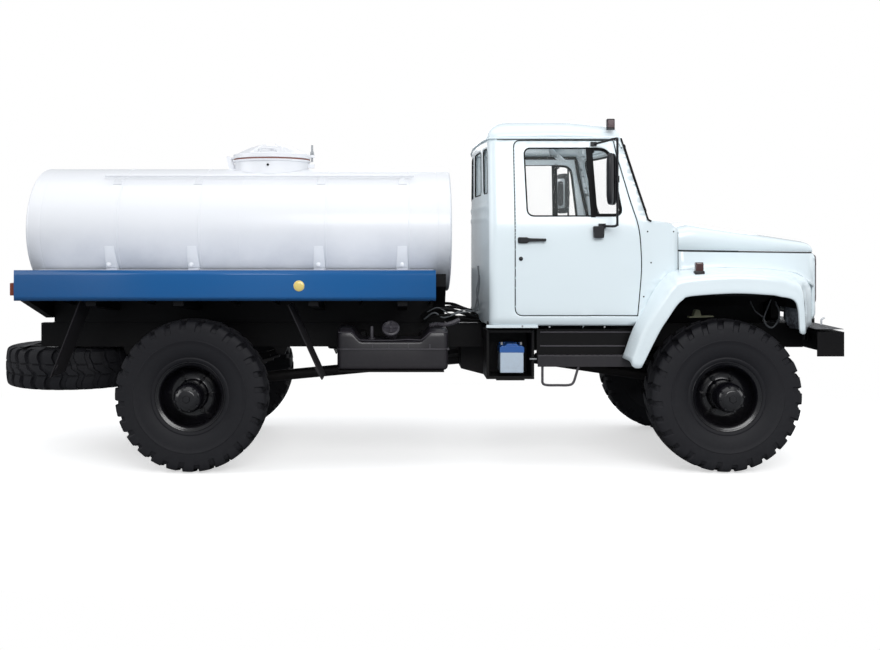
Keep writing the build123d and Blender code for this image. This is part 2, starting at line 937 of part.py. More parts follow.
with BuildPart() as shoulder_rails:
    with BuildSketch(cross_plane(-751)):
        with Locations((-rail_pipe_y, rail_pipe_z)):
            Circle(13)
    extrude(amount=2332)
    for bracket_x in (-658, -49, 878, 1494):
        with BuildSketch(side_plane(-rail_pipe_y)):
            with BuildLine():
                Polyline(
                    (bracket_x - 25, rail_pipe_z - 70),
                    (bracket_x + 25, rail_pipe_z - 70),
                    (bracket_x + 17, rail_pipe_z),
                    (bracket_x - 17, rail_pipe_z),
                    close=True,
                )
            make_face()
        extrude(amount=5, both=True)
    mirror(about=Plane.XZ)
    add(tank_outer, mode=Mode.SUBTRACT)
write("shoulder_rails", shoulder_rails.part)

with BuildPart() as outlet_pipe:
    with BuildSketch(cross_plane(outlet_end)):
        with Locations((0, outlet_z)):
            Circle(outlet_bore + 7)
            Circle(outlet_bore, mode=Mode.SUBTRACT)
    extrude(amount=200)
    with BuildSketch(cross_plane(outlet_end)):
        with Locations((0, outlet_z)):
            Circle(80)
            Circle(outlet_bore, mode=Mode.SUBTRACT)
    extrude(amount=16)
    add(tank_outer, mode=Mode.SUBTRACT)
    with BuildSketch(cross_plane(tank_rear)):
        with Locations((0, outlet_z)):
            Circle(100)
    extrude(amount=200, mode=Mode.SUBTRACT)
write("outlet_pipe", outlet_pipe.part)


# ---------------------------------------------------------------- cab
def cab_solid(inset):
    """The closed cab form, every wall drawn in by the inset."""
    with BuildPart() as form:
        with BuildSketch(side_plane(0)):
            with BuildLine():
                Polyline(
                    (cab_rear, sill_bottom),
                    (3100, sill_bottom),
                    (3257, 1294),
                    (3335, 1382),
                    (3404, 1406),
                    (cowl_front, 1415),
                    (cowl_front, 1722),
                    (3395, 1775),
                    (3354, 1790),
                    (3190, 2440),
                    (3110, 2540),
                    (2940, roof_top),
                    (2330, roof_top),
                    (2170, 2500),
                    (cab_rear, 2360),
                    close=True,
                )
            make_face()
            if inset:
                offset(amount=-inset, kind=Kind.INTERSECTION)
        extrude(amount=cab_half_width + 50, both=True)
        with BuildSketch(cross_plane(cab_rear)):
            with BuildLine():
                Polyline(
                    (0, sill_bottom),
                    (cab_half_width, sill_bottom),
                    (cab_half_width, belt_height),
                    (drip_half_width, drip_height),
                    (drip_half_width - 12, 2440),
                    (drip_half_width - 70, 2515),
                    (drip_half_width - 230, 2555),
                    (0, roof_top),
                )
                mirror(about=Plane.YZ)
            make_face()
            if inset:
                offset(amount=-inset, kind=Kind.INTERSECTION)
        extrude(amount=1500, mode=Mode.INTERSECT)
        # The windscreen's curve in plan, carried up along its slope
        with BuildSketch(top_plane(1782 - inset)):
            with BuildLine():
                ThreePointArc((3180 - inset, -1100), (3354 - inset, 0), (3180 - inset, 1100))
                Polyline((3180 - inset, 1100), (3900, 1100), (3900, -1100), (3180 - inset, -1100))
            make_face()
        extrude(amount=900, dir=(-screen_slope, 0, 1), mode=Mode.SUBTRACT)
        # The cowl's taper and the rear wall's bow in plan
        with BuildSketch(top_plane(sill_bottom - 10)):
            with BuildLine():
                Polyline(
                    (cab_rear + rear_bow + inset, -cab_half_width + inset),
                    (3177, -cab_half_width + inset),
                    (3500, -928 + inset),
                    (3500, 928 - inset),
                    (3177, cab_half_width - inset),
                    (cab_rear + rear_bow + inset, cab_half_width - inset),
                )
                ThreePointArc(
                    (cab_rear + rear_bow + inset, cab_half_width - inset),
                    (cab_rear + inset, 0),
                    (cab_rear + rear_bow + inset, -cab_half_width + inset),
                )
            make_face()
        extrude(amount=1700, mode=Mode.INTERSECT)
    return form.part


door_pivot = (3181, -1004)
hood_pivot = (3448, 1745)


def door_outline(grow):
    """The door's outline on the cab's side, grown by the gap round it."""
    with BuildSketch() as outline:
        with BuildLine():
            Polyline(
                (2291, 1108),
                (3151, 1108),
                (3177, 1420),
                (3161, 1746),
                (3008, 2350),
                (2291, 2350),
                close=True,
            )
        make_face()
        fillet(outline.vertices().group_by(Axis.X)[0], 50)
        if grow:
            offset(amount=grow)
    return outline.sketch


def window_outline(grow):
    """The door window's outline."""
    with BuildSketch() as outline:
        with BuildLine():
            Polyline((2360, 1809), (3039, 1809), (2935, 2300), (2350, 2300), close=True)
        make_face()
        fillet(outline.vertices(), 55)
        if grow:
            offset(amount=grow)
    return outline.sketch


cab_outer = cab_solid(0)
cab_inner = cab_solid(cab_wall)
mid_wall = cab_wall / 2
glass_half = 2.5
glass_outer = cab_solid(mid_wall - glass_half)
glass_inner = cab_solid(mid_wall + glass_half)


def windscreen_cutter():
    """The windscreen's opening, square to its slope."""
    slope_plane = Plane(
        origin=at(3600, 0, 2093),
        x_dir=(0, 1, 0),
        z_dir=(1, 0, screen_slope),
    )
    with BuildPart() as cutter:
        with BuildSketch(slope_plane):
            with BuildLine():
                Polyline((-800, -235), (800, -235), (745, 335), (-745, 335), close=True)
            make_face()
        extrude(amount=-700)
    return cutter.part


def rear_window_cutter():
    """The four windows of the rear wall."""
    with BuildPart() as cutter:
        with BuildSketch(cross_plane(cab_rear - 20)):
            with Locations((-308, 2144), (308, 2144)):
                RectangleRounded(435, 328, 40)
            with Locations((-735, 2144), (735, 2144)):
                RectangleRounded(190, 328, 40)
        extrude(amount=100)
    return cutter.part


with BuildPart() as cab_shell:
    add(cab_outer)
    add(cab_inner, mode=Mode.SUBTRACT)
    add(windscreen_cutter(), mode=Mode.SUBTRACT)
    add(rear_window_cutter(), mode=Mode.SUBTRACT)

with BuildPart() as door_right:
    with BuildSketch(side_plane(-780)):
        add(door_outline(0))
    extrude(amount=300)
    add(cab_shell.part, mode=Mode.INTERSECT)
    with BuildSketch(side_plane(0)):
        add(window_outline(0))
    extrude(amount=1100, mode=Mode.SUBTRACT)
write("door_right", door_right.part)
with BuildPart() as door_left:
    mirror(door_right.part, about=Plane.XZ)
write("door_left", door_left.part)

with BuildPart() as door_glass_right:
    with BuildSketch(side_plane(0)):
        add(window_outline(0))
    extrude(amount=1100)
    add(glass_outer, mode=Mode.INTERSECT)
    add(glass_inner, mode=Mode.SUBTRACT)
write("door_glass_right", door_glass_right.part)
with BuildPart() as door_glass_left:
    mirror(door_glass_right.part, about=Plane.XZ)
write("door_glass_left", door_glass_left.part)

with BuildPart() as door_openings:
    with BuildSketch(side_plane(-760)):
        add(door_outline(door_gap))
    extrude(amount=300)
    mirror(about=Plane.XZ)

with BuildPart() as cab_without_doors:
    add(cab_shell.part)
    add(door_openings.part, mode=Mode.SUBTRACT)


def slab(low, high):
    """A plain block between two corners given from the rear axle."""
    size = [high[i] - low[i] for i in range(3)]
    centre = [(high[i] + low[i]) / 2 for i in range(3)]
    return Pos(*at(*centre)) * Box(*size)


with BuildPart() as cab_roof:
    add(cab_without_doors.part)
    add(slab((1900, -1100, drip_height), (3700, 1100, 2700)), mode=Mode.INTERSECT)
write("cab_roof", cab_roof.part)

with BuildPart() as cab_floor:
    add(cab_without_doors.part)
    add(slab((2000, -1100, 900), (3257, 1100, 1100)), mode=Mode.INTERSECT)
write("cab_floor", cab_floor.part)

with BuildPart() as cab_rear_wall:
    add(cab_without_doors.part)
    add(slab((1900, -1100, 1100), (2700, 1100, drip_height)), mode=Mode.INTERSECT)
write("cab_rear_wall", cab_rear_wall.part)

with BuildPart() as cab_front:
    add(cab_without_doors.part)
    add(slab((2700, -1100, 1100), (3700, 1100, drip_height)), mode=Mode.INTERSECT)
    # The doors' hinge pins, hidden in the gap at the pillar
    with BuildSketch(top_plane(1385)):
        with Locations(door_pivot, (door_pivot[0], -door_pivot[1])):
            Circle(4.5)
    extrude(amount=70)
    # Lugs of the hood's hinge on the cowl's edge
    for lug_y in (-400, 400):
        with BuildSketch(side_plane(lug_y)):
            with BuildLine():
                Polyline((3424, 1715), (3450, 1715), (3456, 1745), (3440, 1745), close=True)
            make_face()
            with Locations(hood_pivot):
                Circle(8)
        extrude(amount=14, both=True)
write("cab_front", cab_front.part)

with BuildPart() as cab_glass:
    add(glass_outer)
    add(glass_inner, mode=Mode.SUBTRACT)
    with BuildPart(mode=Mode.PRIVATE) as openings:
        add(windscreen_cutter())
        add(rear_window_cutter())
    add(openings.part, mode=Mode.INTERSECT)
write("cab_glass", cab_glass.part)

# ---------------------------------------------------------------- cab inside
with BuildPart() as dashboard:
    with BuildSketch(side_plane(0)):
        with BuildLine():
            Polyline(
                (3160, 1700),
                (3020, 1690),
                (2960, 1600),
                (2985, 1450),
                (3120, 1400),
                (3290, 1440),
                (3290, 1700),
                close=True,
            )
        make_face()
    extrude(amount=860, both=True)
    wheel_hub = (2830, 420, 1700)
    shaft_between((2872, 420, 1640), (3130, 420, 1200), 32)
write("dashboard", dashboard.part)

column_tilt = 30
with BuildPart() as steering_wheel:
    wheel_plane = Plane(
        origin=at(*wheel_hub),
        x_dir=(0, 1, 0),
        z_dir=(-sin(radians(column_tilt)), 0, cos(radians(column_tilt))),
    )
    with BuildSketch(wheel_plane):
        Circle(44)
        with PolarLocations(110, 3, start_angle=90):
            Rectangle(190, 26)
    extrude(amount=9, both=True)
    with BuildSketch(Plane(origin=wheel_plane.origin, x_dir=wheel_plane.x_dir, z_dir=wheel_plane.y_dir)):
        with Locations((205, 0)):
            RegularPolygon(14, 8)
    revolve(axis=Axis(wheel_plane.origin, wheel_plane.z_dir))
write("steering_wheel", steering_wheel.part)

with BuildPart() as seats:
    for low_y, high_y in ((170, 680), (-800, 40)):
        with BuildSketch(side_plane(high_y)):
            with BuildLine():
                Polyline(
                    (2230, 1250),
                    (2730, 1290),
                    (2750, 1400),
                    (2700, 1430),
                    (2330, 1400),
                    (2250, 1960),
                    (2200, 1980),
                    (2160, 1940),
                    close=True,
                )
            make_face()
        extrude(amount=high_y - low_y)
    fillet(seats.edges().filter_by(Axis.Y), 12)
write("seats", seats.part)

with BuildPart() as seat_bases:
    for low_y, high_y in ((220, 630), (-740, -20)):
        with BuildSketch(side_plane(high_y)):
            with BuildLine():
                Polyline(
                    (2240, sill_bottom + cab_wall),
                    (2640, sill_bottom + cab_wall),
                    (2640, 1282),
                    (2240, 1250),
                    close=True,
                )
            make_face()
        extrude(amount=high_y - low_y)
write("seat_bases", seat_bases.part)

# ---------------------------------------------------------------- mirrors on the doors
mirror_turn = 23
with BuildPart() as mirror_right:
    # The head is turned a little toward the driver; a tube bracket holds it off the door
    head_plane = Plane(origin=at(2940, -1150, 1883)).rotated((0, 0, -mirror_turn))
    with BuildSketch(head_plane):
        RectangleRounded(46, 190, 14)
    extrude(amount=357)
    post_x = 2984
    shaft_between((post_x, -1120, 1735), (post_x, -1120, 2346), 9)
    shaft_between((post_x, -1120, 2346), (2863, -893, 2327), 9)
    shaft_between((post_x, -1120, 1735), (2910, -1006, 1738), 9)
    shaft_between((2945, -1125, 2063), (post_x, -1120, 2063), 13)
write("mirror_right", mirror_right.part)
with BuildPart() as mirror_left:
    mirror(mirror_right.part, about=Plane.XZ)
write("mirror_left", mirror_left.part)


# ---------------------------------------------------------------- hood, wings, front panel
def hood_solid(inset):
    """The hood's outer form, every face but the lower one drawn in by the inset."""
    with BuildPart() as form:
        with BuildSketch(side_plane(0)):
            with BuildLine():
                Polyline(
                    (cowl_front + panel_gap + inset, 1564 + panel_gap - inset * 2),
                    (cowl_front + panel_gap + inset, 1742 - inset),
                    (3540, 1771 - inset),
                    (4380, 1637 - inset),
                    (hood_front - inset, 1610 - inset),
                    (hood_front - inset, 1549 + panel_gap - inset * 2),
                    close=True,
                )
            make_face()
        extrude(amount=1000, both=True)
        with BuildSketch(top_plane(1400)):
            with BuildLine():
                Polyline(
                    (3400, -936 + inset),
                    (hood_front, -862 + inset),
                    (hood_front, 862 - inset),
                    (3400, 936 - inset),
                    close=True,
                )
            make_face()
        extrude(amount=600, mode=Mode.INTERSECT)
    return form.part


with BuildPart() as hood:
    add(hood_solid(0))
    fillet(hood.faces().sort_by(Axis.Z)[-1].edges().filter_by(Axis.Y, reverse=True), 45)
    add(hood_solid(sheet), mode=Mode.SUBTRACT)
    # Hinge barrels at the rear edge, one beside each of the cowl's lugs
    for barrel_y in (-440, 440):
        with BuildSketch(side_plane(barrel_y)):
            with Locations(hood_pivot):
                Circle(8)
            with Locations((hood_pivot[0] + 14, hood_pivot[1] - 2)):
                Rectangle(28, 8)
        extrude(amount=20, both=True)
write("hood", hood.part)

wing_outline = (
    (3020, 811),
    (3150, 1104),
    (3257, 1294),
    (3335, 1382),
    (3404, 1406),
    (3628, 1425),
    (3803, 1430),
    (4115, 1411),
    (4212, 1386),
    (4291, 1343),
    (4310, 1011),
    (4271, 972),
)
arch_outline = (
    (4262, 982),
    (4257, 1177),
    (4237, 1236),
    (4193, 1255),
    (3969, 1267),
    (3774, 1272),
    (3550, 1255),
    (3462, 1236),
    (3394, 1177),
    (3316, 1041),
    (3184, 787),
    (3148, 748),
    (3092, 748),
)
with BuildPart() as wings:
    # The flare's outer lip
    with BuildSketch(side_plane(-wing_outer_y + sheet)):
        with BuildLine():
            Polyline(*wing_outline, *arch_outline, close=True)
        make_face()
    extrude(amount=sheet)
    # Its skin, from the lip inward to the hood's side
    with BuildSketch(side_plane(-880)):
        with BuildLine():
            Polyline((2926, 600), *wing_outline[:-1], (4312, 600), close=True)
        make_face()
        offset(amount=-sheet, kind=Kind.INTERSECTION, mode=Mode.SUBTRACT)
        with Locations((3600, 600)):
            Rectangle(2000, 2 * (811 - 600), mode=Mode.SUBTRACT)
        with Locations((4200, 700)):
            Rectangle(600, 2 * (1011 - 700), mode=Mode.SUBTRACT)
    extrude(amount=wing_outer_y - 880 - 1)
    # The cab's corner stands inside the skin's rear end
    with BuildSketch(side_plane(-860)):
        with Locations((3200, 1000)):
            Rectangle(600, 580)
    extrude(amount=146, mode=Mode.SUBTRACT)
    # Room for the door's front edge as it swings
    with BuildSketch(side_plane(-860)):
        with Locations((3045, 1190)):
            Rectangle(300, 200)
    extrude(amount=215, mode=Mode.SUBTRACT)
    # The upright panel between the flare and the hood
    with BuildSketch(top_plane(1380)):
        with BuildLine():
            Polyline(
                (cowl_front + 2, -928),
                (4434, -866),
                (4434, -866 + sheet),
                (cowl_front + 2, -928 + sheet),
                close=True,
            )
        make_face()
    extrude(amount=170)
    mirror(about=Plane.XZ)
write("wings", wings.part)

with BuildPart() as front_panel:
    with BuildSketch(top_plane(1075)):
        with BuildLine():
            Polyline((4440, -866), (4470, -830))
            ThreePointArc((4470, -830), (4510, 0), (4470, 830))
            Polyline((4470, 830), (4440, 866), (4440, -866))
        make_face()
    extrude(amount=470)
    with BuildSketch(cross_plane(4300)):
        with Locations((0, 1361)):
            RectangleRounded(1640, 330, 30)
    extrude(amount=400, mode=Mode.SUBTRACT)
write("front_panel", front_panel.part)

with BuildPart() as grille:
    with BuildSketch(cross_plane(4440)):
        with Locations((0, 1361)):
            RectangleRounded(1636, 326, 28)
            RectangleRounded(1596, 286, 20, mode=Mode.SUBTRACT)
        for bar in range(7):
            with Locations((0, 1241 + bar * 40)):
                Rectangle(1600, 12)
        with Locations((-520, 1361), (520, 1361)):
            Rectangle(24, 300)
    extrude(amount=40)
write("grille", grille.part)

with BuildPart() as lamps:
    with BuildSketch(side_plane(-deck_half_width)):
        with Locations((775, 1322)):
            Circle(38)
    extrude(amount=14)
    with BuildSketch(side_plane(-deck_half_width + 30)):
        with Locations((deck_rear - 22, 1297)):
            Rectangle(44, 90)
    extrude(amount=-140)
    with BuildSketch(side_plane(-862)):
        with Locations((2987, 2471)):
            Rectangle(56, 80)
    extrude(amount=36)
    with BuildSketch(cross_plane(4481)):
        with Locations((-680, 1361)):
            Circle(95)
    extrude(amount=18)
    mirror(about=Plane.XZ)
write("lamps", lamps.part)
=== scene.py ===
"""Looks of the street washer truck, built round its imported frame.

Lengths in this file are millimetres measured from the rear axle: X forward, Y to the truck's left, Z up
from the ground. place() turns them into the frame's metres.
"""
import json
from math import radians

import bmesh
import bpy
import numpy as np
from mathutils.geometry import delaunay_2d_cdt
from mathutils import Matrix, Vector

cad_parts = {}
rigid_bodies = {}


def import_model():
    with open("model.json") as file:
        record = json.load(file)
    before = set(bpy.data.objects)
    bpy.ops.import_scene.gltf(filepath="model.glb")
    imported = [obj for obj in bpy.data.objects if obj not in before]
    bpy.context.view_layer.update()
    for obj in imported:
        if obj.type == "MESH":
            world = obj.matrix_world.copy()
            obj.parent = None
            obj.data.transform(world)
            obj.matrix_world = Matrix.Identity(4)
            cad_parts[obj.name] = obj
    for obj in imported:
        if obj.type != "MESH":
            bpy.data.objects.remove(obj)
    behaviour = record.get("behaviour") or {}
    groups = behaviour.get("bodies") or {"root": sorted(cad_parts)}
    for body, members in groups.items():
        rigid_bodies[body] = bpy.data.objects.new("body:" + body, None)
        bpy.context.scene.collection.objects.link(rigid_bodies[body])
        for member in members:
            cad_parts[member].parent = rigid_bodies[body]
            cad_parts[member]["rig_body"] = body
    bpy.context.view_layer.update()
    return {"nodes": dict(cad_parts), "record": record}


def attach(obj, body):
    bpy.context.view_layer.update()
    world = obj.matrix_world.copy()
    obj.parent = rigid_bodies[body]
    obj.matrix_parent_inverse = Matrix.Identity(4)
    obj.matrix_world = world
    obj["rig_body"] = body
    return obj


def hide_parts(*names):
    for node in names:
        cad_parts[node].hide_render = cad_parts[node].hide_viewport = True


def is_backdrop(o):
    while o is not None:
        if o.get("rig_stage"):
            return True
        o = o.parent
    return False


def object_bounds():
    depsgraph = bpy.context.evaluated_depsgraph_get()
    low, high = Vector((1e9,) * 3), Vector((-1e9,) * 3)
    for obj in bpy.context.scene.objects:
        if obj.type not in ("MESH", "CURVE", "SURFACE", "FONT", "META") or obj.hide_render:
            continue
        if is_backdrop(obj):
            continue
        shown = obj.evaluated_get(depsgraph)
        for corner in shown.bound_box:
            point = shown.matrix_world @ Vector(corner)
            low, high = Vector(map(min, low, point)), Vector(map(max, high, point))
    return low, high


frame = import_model()

REAR_AXLE_X = -1506.5
WHEELBASE = 3770
AXLE_HEIGHT = 540
WHEEL_Y = 910


def place(points):
    """Truck millimetres to frame metres."""
    moved = np.array(points, float)
    moved[:, 0] += REAR_AXLE_X
    return moved / 1000


# ------------------------------------------------------------------ shapes
# A shape is (points, faces): an (n, 3) array in truck millimetres and a list of corner-index tuples.


def grid(points, around=False, along=False):
    """Faces between neighbours of an (u, v, 3) array of points; around closes u, along closes v."""
    rows, columns = points.shape[:2]
    index = np.arange(rows * columns).reshape(rows, columns)
    if around:
        index = np.vstack([index, index[:1]])
    if along:
        index = np.hstack([index, index[:, :1]])
    corners = np.stack([index[:-1, :-1], index[1:, :-1], index[1:, 1:], index[:-1, 1:]], axis=-1)
    return points.reshape(-1, 3), [tuple(face) for face in corners.reshape(-1, 4).tolist()]


def capped(points):
    """A row of closed (u, v, 3) rings as one skin, with a face across the first ring and the last."""
    shape, faces = grid(points, along=True)
    count = points.shape[1]
    last = len(shape) - 1
    return shape, faces + [tuple(range(count)), tuple(range(last, last - count, -1))]


def joined(*shapes):
    """Several shapes as one."""
    points, faces, start = [], [], 0
    for part_points, part_faces in shapes:
        points.append(part_points)
        faces += [tuple(corner + start for corner in face) for face in part_faces]
        start += len(part_points)
    return np.vstack(points), faces


def mirrored(shape):
    """The same shape on the other side of the truck: Y changes sign and each face runs the other way."""
    return shape[0] * (1, -1, 1), [face[::-1] for face in shape[1]]


def unchanged(shape):
    """A right-hand shape, left where it is."""
    return shape


SIDES = (("right", unchanged), ("left", mirrored))


def both_sides(shape):
    """A right-hand shape and its mirror image as one."""
    return joined(shape, mirrored(shape))


def flipped(shape):
    """The same shape with each face run the other way."""
    return shape[0], [face[::-1] for face in shape[1]]


def moved(shape, step):
    """The same shape with (x, y, z) added to every point."""
    return shape[0] + step, shape[1]


def rotated(shape, axis, turn, middle=(0, 0, 0)):
    """A shape turned about an axis through the origin, then moved.

    The two coordinates across the axis, a and b, become a cos - b sin and a sin + b cos.
    """
    first, second = {"x": (1, 2), "y": (0, 2), "z": (0, 1)}[axis]
    points = np.array(shape[0], float)
    a, b = shape[0][:, first], shape[0][:, second]
    points[:, first] = a * np.cos(turn) - b * np.sin(turn)
    points[:, second] = a * np.sin(turn) + b * np.cos(turn)
    return points + middle, shape[1]


def facing_out(mesh):
    """Turn the faces of each closed shell in a mesh outward."""
    shells = bmesh.new()
    shells.from_mesh(mesh)
    bmesh.ops.recalc_face_normals(shells, faces=shells.faces)
    shells.to_mesh(mesh)
    shells.free()


def shown(name, data):
    """A new object in the scene: a mesh, a lamp or a camera."""
    obj = bpy.data.objects.new(name, data)
    bpy.context.scene.collection.objects.link(obj)
    return obj


def shaded(mesh, angle):
    """Smooth shading, with edges sharper than the angle left crisp."""
    mesh.shade_smooth()
    mesh.set_sharp_from_angle(angle=radians(angle))


def softened_edges(obj, width, angle):
    """A small round along every edge sharper than the angle."""
    edge = obj.modifiers.new("edges", "BEVEL")
    edge.width = width / 1000
    edge.segments = 2
    edge.limit_method = "ANGLE"
    edge.angle_limit = radians(angle)
    edge.harden_normals = True


def piece(name, shape, finish, replaces=(), slot=None, body="chassis", angle=35, bevel=0, wall=0):
    """One finished piece: mesh, shading, wall, bevel, material, and the body that it rides on.

    Its slot argument is not used.
    """
    points, faces = shape
    mesh = bpy.data.meshes.new(name)
    mesh.from_pydata(place(points).tolist(), [], faces)
    if not wall:
        facing_out(mesh)
    obj = shown(name, mesh)
    shaded(mesh, angle)
    if wall:
        solid = obj.modifiers.new("wall", "SOLIDIFY")
        solid.thickness = wall / 1000
        solid.offset = -1
        solid.use_even_offset = True
    if bevel:
        softened_edges(obj, bevel, angle)
    mesh.materials.append(finish)
    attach(obj, body)
    if replaces:
        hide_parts(*replaces)
    return obj


def turned(profile, centre, axis="y", steps=96):
    """A profile of (distance along the axis, radius) pairs carried round the axis through centre.

    point = centre + axis * distance + radius * (cos, sin) in the plane across the axis.
    """
    profile = np.array(profile, float)
    turn = np.linspace(0, 2 * np.pi, steps, endpoint=False)
    along, radius = profile[:, 0], profile[:, 1]
    ones = np.ones_like(turn)
    first = np.outer(np.cos(turn), radius)
    second = np.outer(np.sin(turn), radius)
    third = np.outer(ones, along)
    order = {"x": (third, first, second), "y": (second, third, first), "z": (first, second, third)}[axis]
    return grid(np.stack(order, axis=-1) + np.array(centre, float), around=True)


def tube(path, radius, steps=12, closed=False):
    """A round section carried along a path: at each point a circle square to the path's direction."""
    path = np.array(path, float)
    ahead = np.roll(path, -1, 0) - np.roll(path, 1, 0)
    if not closed:
        ahead[0], ahead[-1] = path[1] - path[0], path[-1] - path[-2]
    ahead /= np.linalg.norm(ahead, axis=1)[:, None]
    least = np.eye(3)[np.argmin(np.abs(ahead).max(0))]
    side = np.cross(ahead, least)
    side /= np.linalg.norm(side, axis=1)[:, None]
    other = np.cross(ahead, side)
    turn = np.linspace(0, 2 * np.pi, steps, endpoint=False)
    ring = np.cos(turn)[None, :, None] * side[:, None] + np.sin(turn)[None, :, None] * other[:, None]
    radius = np.broadcast_to(np.array(radius, float), (len(path),))
    points = path[:, None] + ring * radius[:, None, None]
    return grid(points, around=True, along=True) if closed else capped(points)


def smooth_path(corners, samples=8):
    """A curve through the corners: each run is a cubic whose ends lean along the neighbours' chord."""
    corners = np.array(corners, float)
    padded = np.vstack([2 * corners[0] - corners[1], corners, 2 * corners[-1] - corners[-2]])
    a, b, c, d = (padded[i:len(corners) - 1 + i][:, None] for i in range(4))
    t = np.linspace(0, 1, samples, endpoint=False)[None, :, None]
    curve = 0.5 * (2 * b + (c - a) * t + (2 * a - 5 * b + 4 * c - d) * t**2 + (3 * b - a - 3 * c + d) * t**3)
    return np.vstack([curve.reshape(-1, corners.shape[1]), corners[-1:]])


def rounded(corners, radii, samples=5):
    """A closed outline whose corners are rounded: each corner becomes a quadratic curve between two cuts."""
    corners = np.array(corners, float)
    radii = np.broadcast_to(np.array(radii, float), (len(corners),))
    before = np.roll(corners, 1, 0) - corners
    after = np.roll(corners, -1, 0) - corners
    start = corners + before / np.linalg.norm(before, axis=1)[:, None] * radii[:, None]
    end = corners + after / np.linalg.norm(after, axis=1)[:, None] * radii[:, None]
    t = np.linspace(0, 1, samples)[None, :, None]
    curve = (1 - t) ** 2 * start[:, None] + 2 * t * (1 - t) * corners[:, None] + t**2 * end[:, None]
    return curve.reshape(-1, 2)


def slab(outline, low, high, plane="xz"):
    """A flat outline carried straight from low to high across its plane, closed at both ends."""
    outline = np.array(outline, float)
    count = len(outline)
    span = np.repeat([low, high], count)
    flat = np.vstack([outline, outline])
    first, second = flat[:, 0], flat[:, 1]
    order = {"xz": (first, span, second), "yz": (span, first, second), "xy": (first, second, span)}[plane]
    ring = np.arange(count)
    following = np.roll(ring, -1)
    sides = np.stack([ring, following, following + count, ring + count], axis=-1).tolist()
    area = np.sum(outline[:, 0] * np.roll(outline[:, 1], -1) - np.roll(outline[:, 0], -1) * outline[:, 1])
    faces = [tuple(face) for face in sides] + [tuple(ring[::-1].tolist()), tuple((ring + count).tolist())]
    shape = np.stack(order, axis=-1), faces
    outward = ((area > 0) == (plane != "xz")) == (high >= low)
    return shape if outward else flipped(shape)


def box(low, high):
    """A plain block between two corners, for parts that a bevel then rounds."""
    (x0, y0, z0), (x1, y1, z1) = low, high
    return slab([(x0, z0), (x1, z0), (x1, z1), (x0, z1)], y0, y1)


def dense(loop, spacing):
    """A closed outline with points added so that no edge is longer than the spacing."""
    loop = np.array(loop, float)
    ahead = np.roll(loop, -1, 0)
    parts = []
    for start, end in zip(loop, ahead):
        count = max(1, int(np.ceil(np.abs((end - start) / spacing).max())))
        parts.append(start + (end - start) * np.linspace(0, 1, count, endpoint=False)[:, None])
    return np.vstack(parts)


def drawn_in(loop, distance):
    """An outline moved inward by a distance; a hole's outline is moved outward with a negative one."""
    before = loop - np.roll(loop, 1, 0)
    after = np.roll(loop, -1, 0) - loop
    before /= np.linalg.norm(before, axis=1)[:, None]
    after /= np.linalg.norm(after, axis=1)[:, None]
    lean = before + after
    lean /= np.linalg.norm(lean, axis=1)[:, None]
    inward = np.column_stack([-lean[:, 1], lean[:, 0]])
    area = np.sum(loop[:, 0] * np.roll(loop[:, 1], -1) - np.roll(loop[:, 0], -1) * loop[:, 1])
    stretch = 1 / np.maximum(0.5, np.abs(np.sum(lean * before, axis=1)))
    return loop + inward * (np.sign(area) * distance * stretch)[:, None]


def inside(points, loops):
    """Which points are inside the outline and outside its holes: a ray crosses an odd count of edges."""
    crossed = np.zeros(len(points), int)
    x, y = points[:, :1], points[:, 1:]
    for loop in loops:
        start, end = loop, np.roll(loop, -1, 0)
        spans = (start[:, 1] > y) != (end[:, 1] > y)
        rise = np.where(end[:, 1] == start[:, 1], 1.0, end[:, 1] - start[:, 1])
        crossed += (spans & (x < start[:, 0] + (y - start[:, 1]) * (end[:, 0] - start[:, 0]) / rise)).sum(1)
    return crossed % 2 == 1


NEAR_EDGE = 0.02**0.5  # lattice points closer than this share of the spacing to an edge are left out


